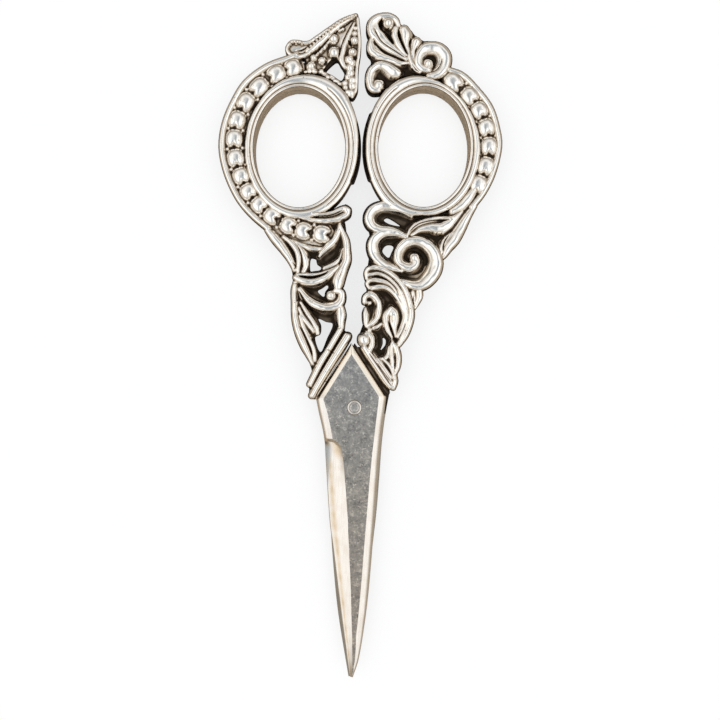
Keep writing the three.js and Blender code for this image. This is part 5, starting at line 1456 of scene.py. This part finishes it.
def blade_sections(shape):
    """Rows of x, y, z, polish, and grime with painted light and shade, with the inner face at z = 0."""
    cut_corner, back_corner, apex = shape["gable"]
    root = np.linspace(apex[1], ROOT_END, ROOT_ROWS)
    scoop = np.linspace(*SCOOP_SPAN, SCOOP_ROWS)
    y = np.concatenate([root, scoop, np.linspace(BODY_TOP, TIP_Y, BODY_ROWS)])
    low = edge_of(shape["cut"], cut_corner, apex, y) - EDGE_GROWTH
    high = edge_of(shape["back"], back_corner, apex, y) + EDGE_GROWTH
    thick = read_off(THICKNESS, y)
    bevel = read_off(BEVEL_WIDTHS, y)
    chamfer = np.where(y > back_corner[1], GABLE_CHAMFER, read_off(BACK_WIDTHS, y))
    tight = np.minimum((high - low) / (bevel + chamfer) * FLAT_LEFT, 1)
    crown = np.where(y > ROOT_Y, thick - CHAMFER_DROP * (1 - tight), thick)
    flat_low = low + bevel * tight
    flat_high = high - chamfer * tight
    hollow = step(*HOLLOW_FROM, y)
    bend = read_off(HOLLOW_BEND, y)
    at_cut = (thick - CHAMFER_DROP) * (1 - hollow) + read_off(HOLLOW_EDGE, y) * hollow
    at_back = np.maximum(thick - CHAMFER_DROP - BACK_DROP * step(*BACK_DROP_ALONG, y), BACK_LEAST)
    bevel_marks = bevel_grime(y, hollow)
    rim = GABLE_RIM_DARKENING * step(*GABLE_RIM_ALONG, y)
    # Painted shade on the inner face
    behind = np.where(y > INNER_SHADE_FROM, INNER_ROOT_SHADE, INNER_SHADE)
    rows = []
    for k in range(len(y)):
        section = [(low[k], at_cut[k] - min(EDGE_ROUND, at_cut[k] / 2), 1.0, 0.0)]
        start = low[k] + min(EDGE_ROUND, bevel[k] / 4)
        for u in BEVEL_STEPS:
            curve = (1 - hollow[k]) * (1 - read_off(WEAR, 1 - u)) + hollow[k] * u ** bend[k]
            soil_and_shade = sum(strength[k] * bell(u, *across) for strength, across in bevel_marks)
            soil_and_shade += rim[k] * (1 - u) ** RIM_FALL
            z = at_cut[k] + (crown[k] - at_cut[k]) * curve
            section.append((start + u * (flat_low[k] - start), z, 1.0, soil_and_shade))
        for u in FLAT_STEPS:
            section.append((flat_low[k] + u * (flat_high[k] - flat_low[k]), crown[k], 0.0, 0.0))
        for u in CHAMFER_STEPS:
            z = crown[k] + read_off(WEAR, u) * (at_back[k] - crown[k])
            section.append((flat_high[k] + u * (high[k] - flat_high[k]), z, 1.0, rim[k] * u ** RIM_FALL))
        section.append((high[k], 0.0, 1.0, behind[k]))
        section.append((low[k], 0.0, 1.0, behind[k]))
        rows.append([(x, y[k], z, polish, soil_and_shade) for x, z, polish, soil_and_shade in section])
    return np.array(rows)


def ground_blade(name, shape, facing):
    """A closed blade in front of the seam (1) or behind it (-1)."""
    rows = blade_sections(shape)
    count, wide = rows.shape[:2]
    x = CENTRE_X + facing * rows[..., 0]
    z = seam + facing * (SHEAR_HALF + rows[..., 2])
    positions = np.stack([x, rows[..., 1], z], -1).reshape(-1, 3) * MM
    faces = []
    for r in range(count - 1):
        for c in range(wide):
            d = (c + 1) % wide
            faces.append([r * wide + c, (r + 1) * wide + c, (r + 1) * wide + d, r * wide + d])
    faces.append(list(range(wide)))
    faces.append([(count - 1) * wide + c for c in reversed(range(wide))])
    polish, grime = rows[..., 3].ravel(), rows[..., 4].ravel()
    return add_piece(name, positions.tolist(), faces, steel, BLADE_SHARP_ANGLE, polish=polish, grime=grime)


for side, shape, facing in (("front", FRONT_BLADE, 1), ("rear", REAR_BLADE, -1)):
    blade = ground_blade(f"{side}_ground_blade", shape, facing)
    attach(blade, f"{side}_half")
    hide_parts(f"{side}_blade")

# %% [markdown]
# The rivet is filed nearly flush. Its middle is as dull as the blade, then comes a fine groove painted
# dark as shade, a bright ring that stands less than a tenth of a millimetre proud, and a skirt painted
# dark as shade where it meets the blade. It is turned from one short profile, the same at both ends.

# %% Rivet
RIVET_SIDES = 72
# Radius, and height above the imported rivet's end
RIVET_PROFILE = [
    (0.0, 0.010), (0.45, 0.010), (0.78, 0.008), (0.82, -0.03), (0.87, -0.03), (0.92, 0.05), (0.98, 0.08),
    (1.10, 0.08), (1.16, 0.05), (1.20, 0.014), (1.28, 0.010), (1.30, -0.3), (0.95, -0.5),
]
GROOVE_FROM = 0.80
RING_FROM = 0.90
SKIRT_FROM = 1.19
MIDDLE_POLISH = 0.2
# Painted shade in the groove and on the skirt
RIVET_SHADE = 0.8
rivet_low, rivet_high = (corner.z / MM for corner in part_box("pivot_rivet"))
profile = [(r, rivet_high + z) for r, z in RIVET_PROFILE]
profile += [(r, rivet_low - z) for r, z in reversed(RIVET_PROFILE)]
rivet_points = [(0.0, 0.0, profile[0][1] * MM)]
for r, z in profile[1:-1]:
    for k in range(RIVET_SIDES):
        a = 2 * math.pi * k / RIVET_SIDES
        rivet_points.append((r * math.cos(a) * MM, r * math.sin(a) * MM, z * MM))
rivet_points.append((0.0, 0.0, profile[-1][1] * MM))
rivet_faces = []
rings = len(profile) - 2
last = len(rivet_points) - 1
for k in range(RIVET_SIDES):
    n = (k + 1) % RIVET_SIDES
    rivet_faces.append((0, 1 + k, 1 + n))
    for r in range(rings - 1):
        a, b = 1 + r * RIVET_SIDES, 1 + (r + 1) * RIVET_SIDES
        rivet_faces.append((a + k, b + k, b + n, a + n))
    rivet_faces.append((last, 1 + (rings - 1) * RIVET_SIDES + n, 1 + (rings - 1) * RIVET_SIDES + k))
around = [math.hypot(p[0], p[1]) / MM for p in rivet_points]
polish = [1.0 if r > RING_FROM else MIDDLE_POLISH for r in around]
grime = [RIVET_SHADE if GROOVE_FROM < r < RING_FROM or r > SKIRT_FROM else 0.0 for r in around]
rivet = add_piece("flush_rivet", rivet_points, rivet_faces, steel, polish=polish, grime=grime)
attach(rivet, "rear_half")
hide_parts("pivot_rivet")

# %% [markdown]
# Inside each handle a pad of cutler's cement holds the tang. Nothing of it shows, but it keeps its packed
# shape and gets its own finish: a dull brown resin with grit in it.

# %% Cement
CEMENT_STOPS = [(0.35, (0.10, 0.06, 0.035)), (0.65, (0.22, 0.15, 0.09))]
GRIT_SCALE = 1200.0
CEMENT_ROUGHNESS = 0.75
cement = bpy.data.materials.new("cutlers_cement")
tree = node_tree(cement)
grit = noise(tree, add_node(tree, "TexCoord").outputs["Object"], GRIT_SCALE, Detail=5.0)
resin = add_node(tree, "BsdfPrincipled", colour_ramp(tree, grit, CEMENT_STOPS), Roughness=CEMENT_ROUGHNESS)
add_node(tree, "OutputMaterial", resin.outputs[0])
for side in ("left", "right"):
    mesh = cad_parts[f"{side}_tang_cement"].data
    mesh.materials.clear()
    mesh.materials.append(cement)
print("cement on both tangs")
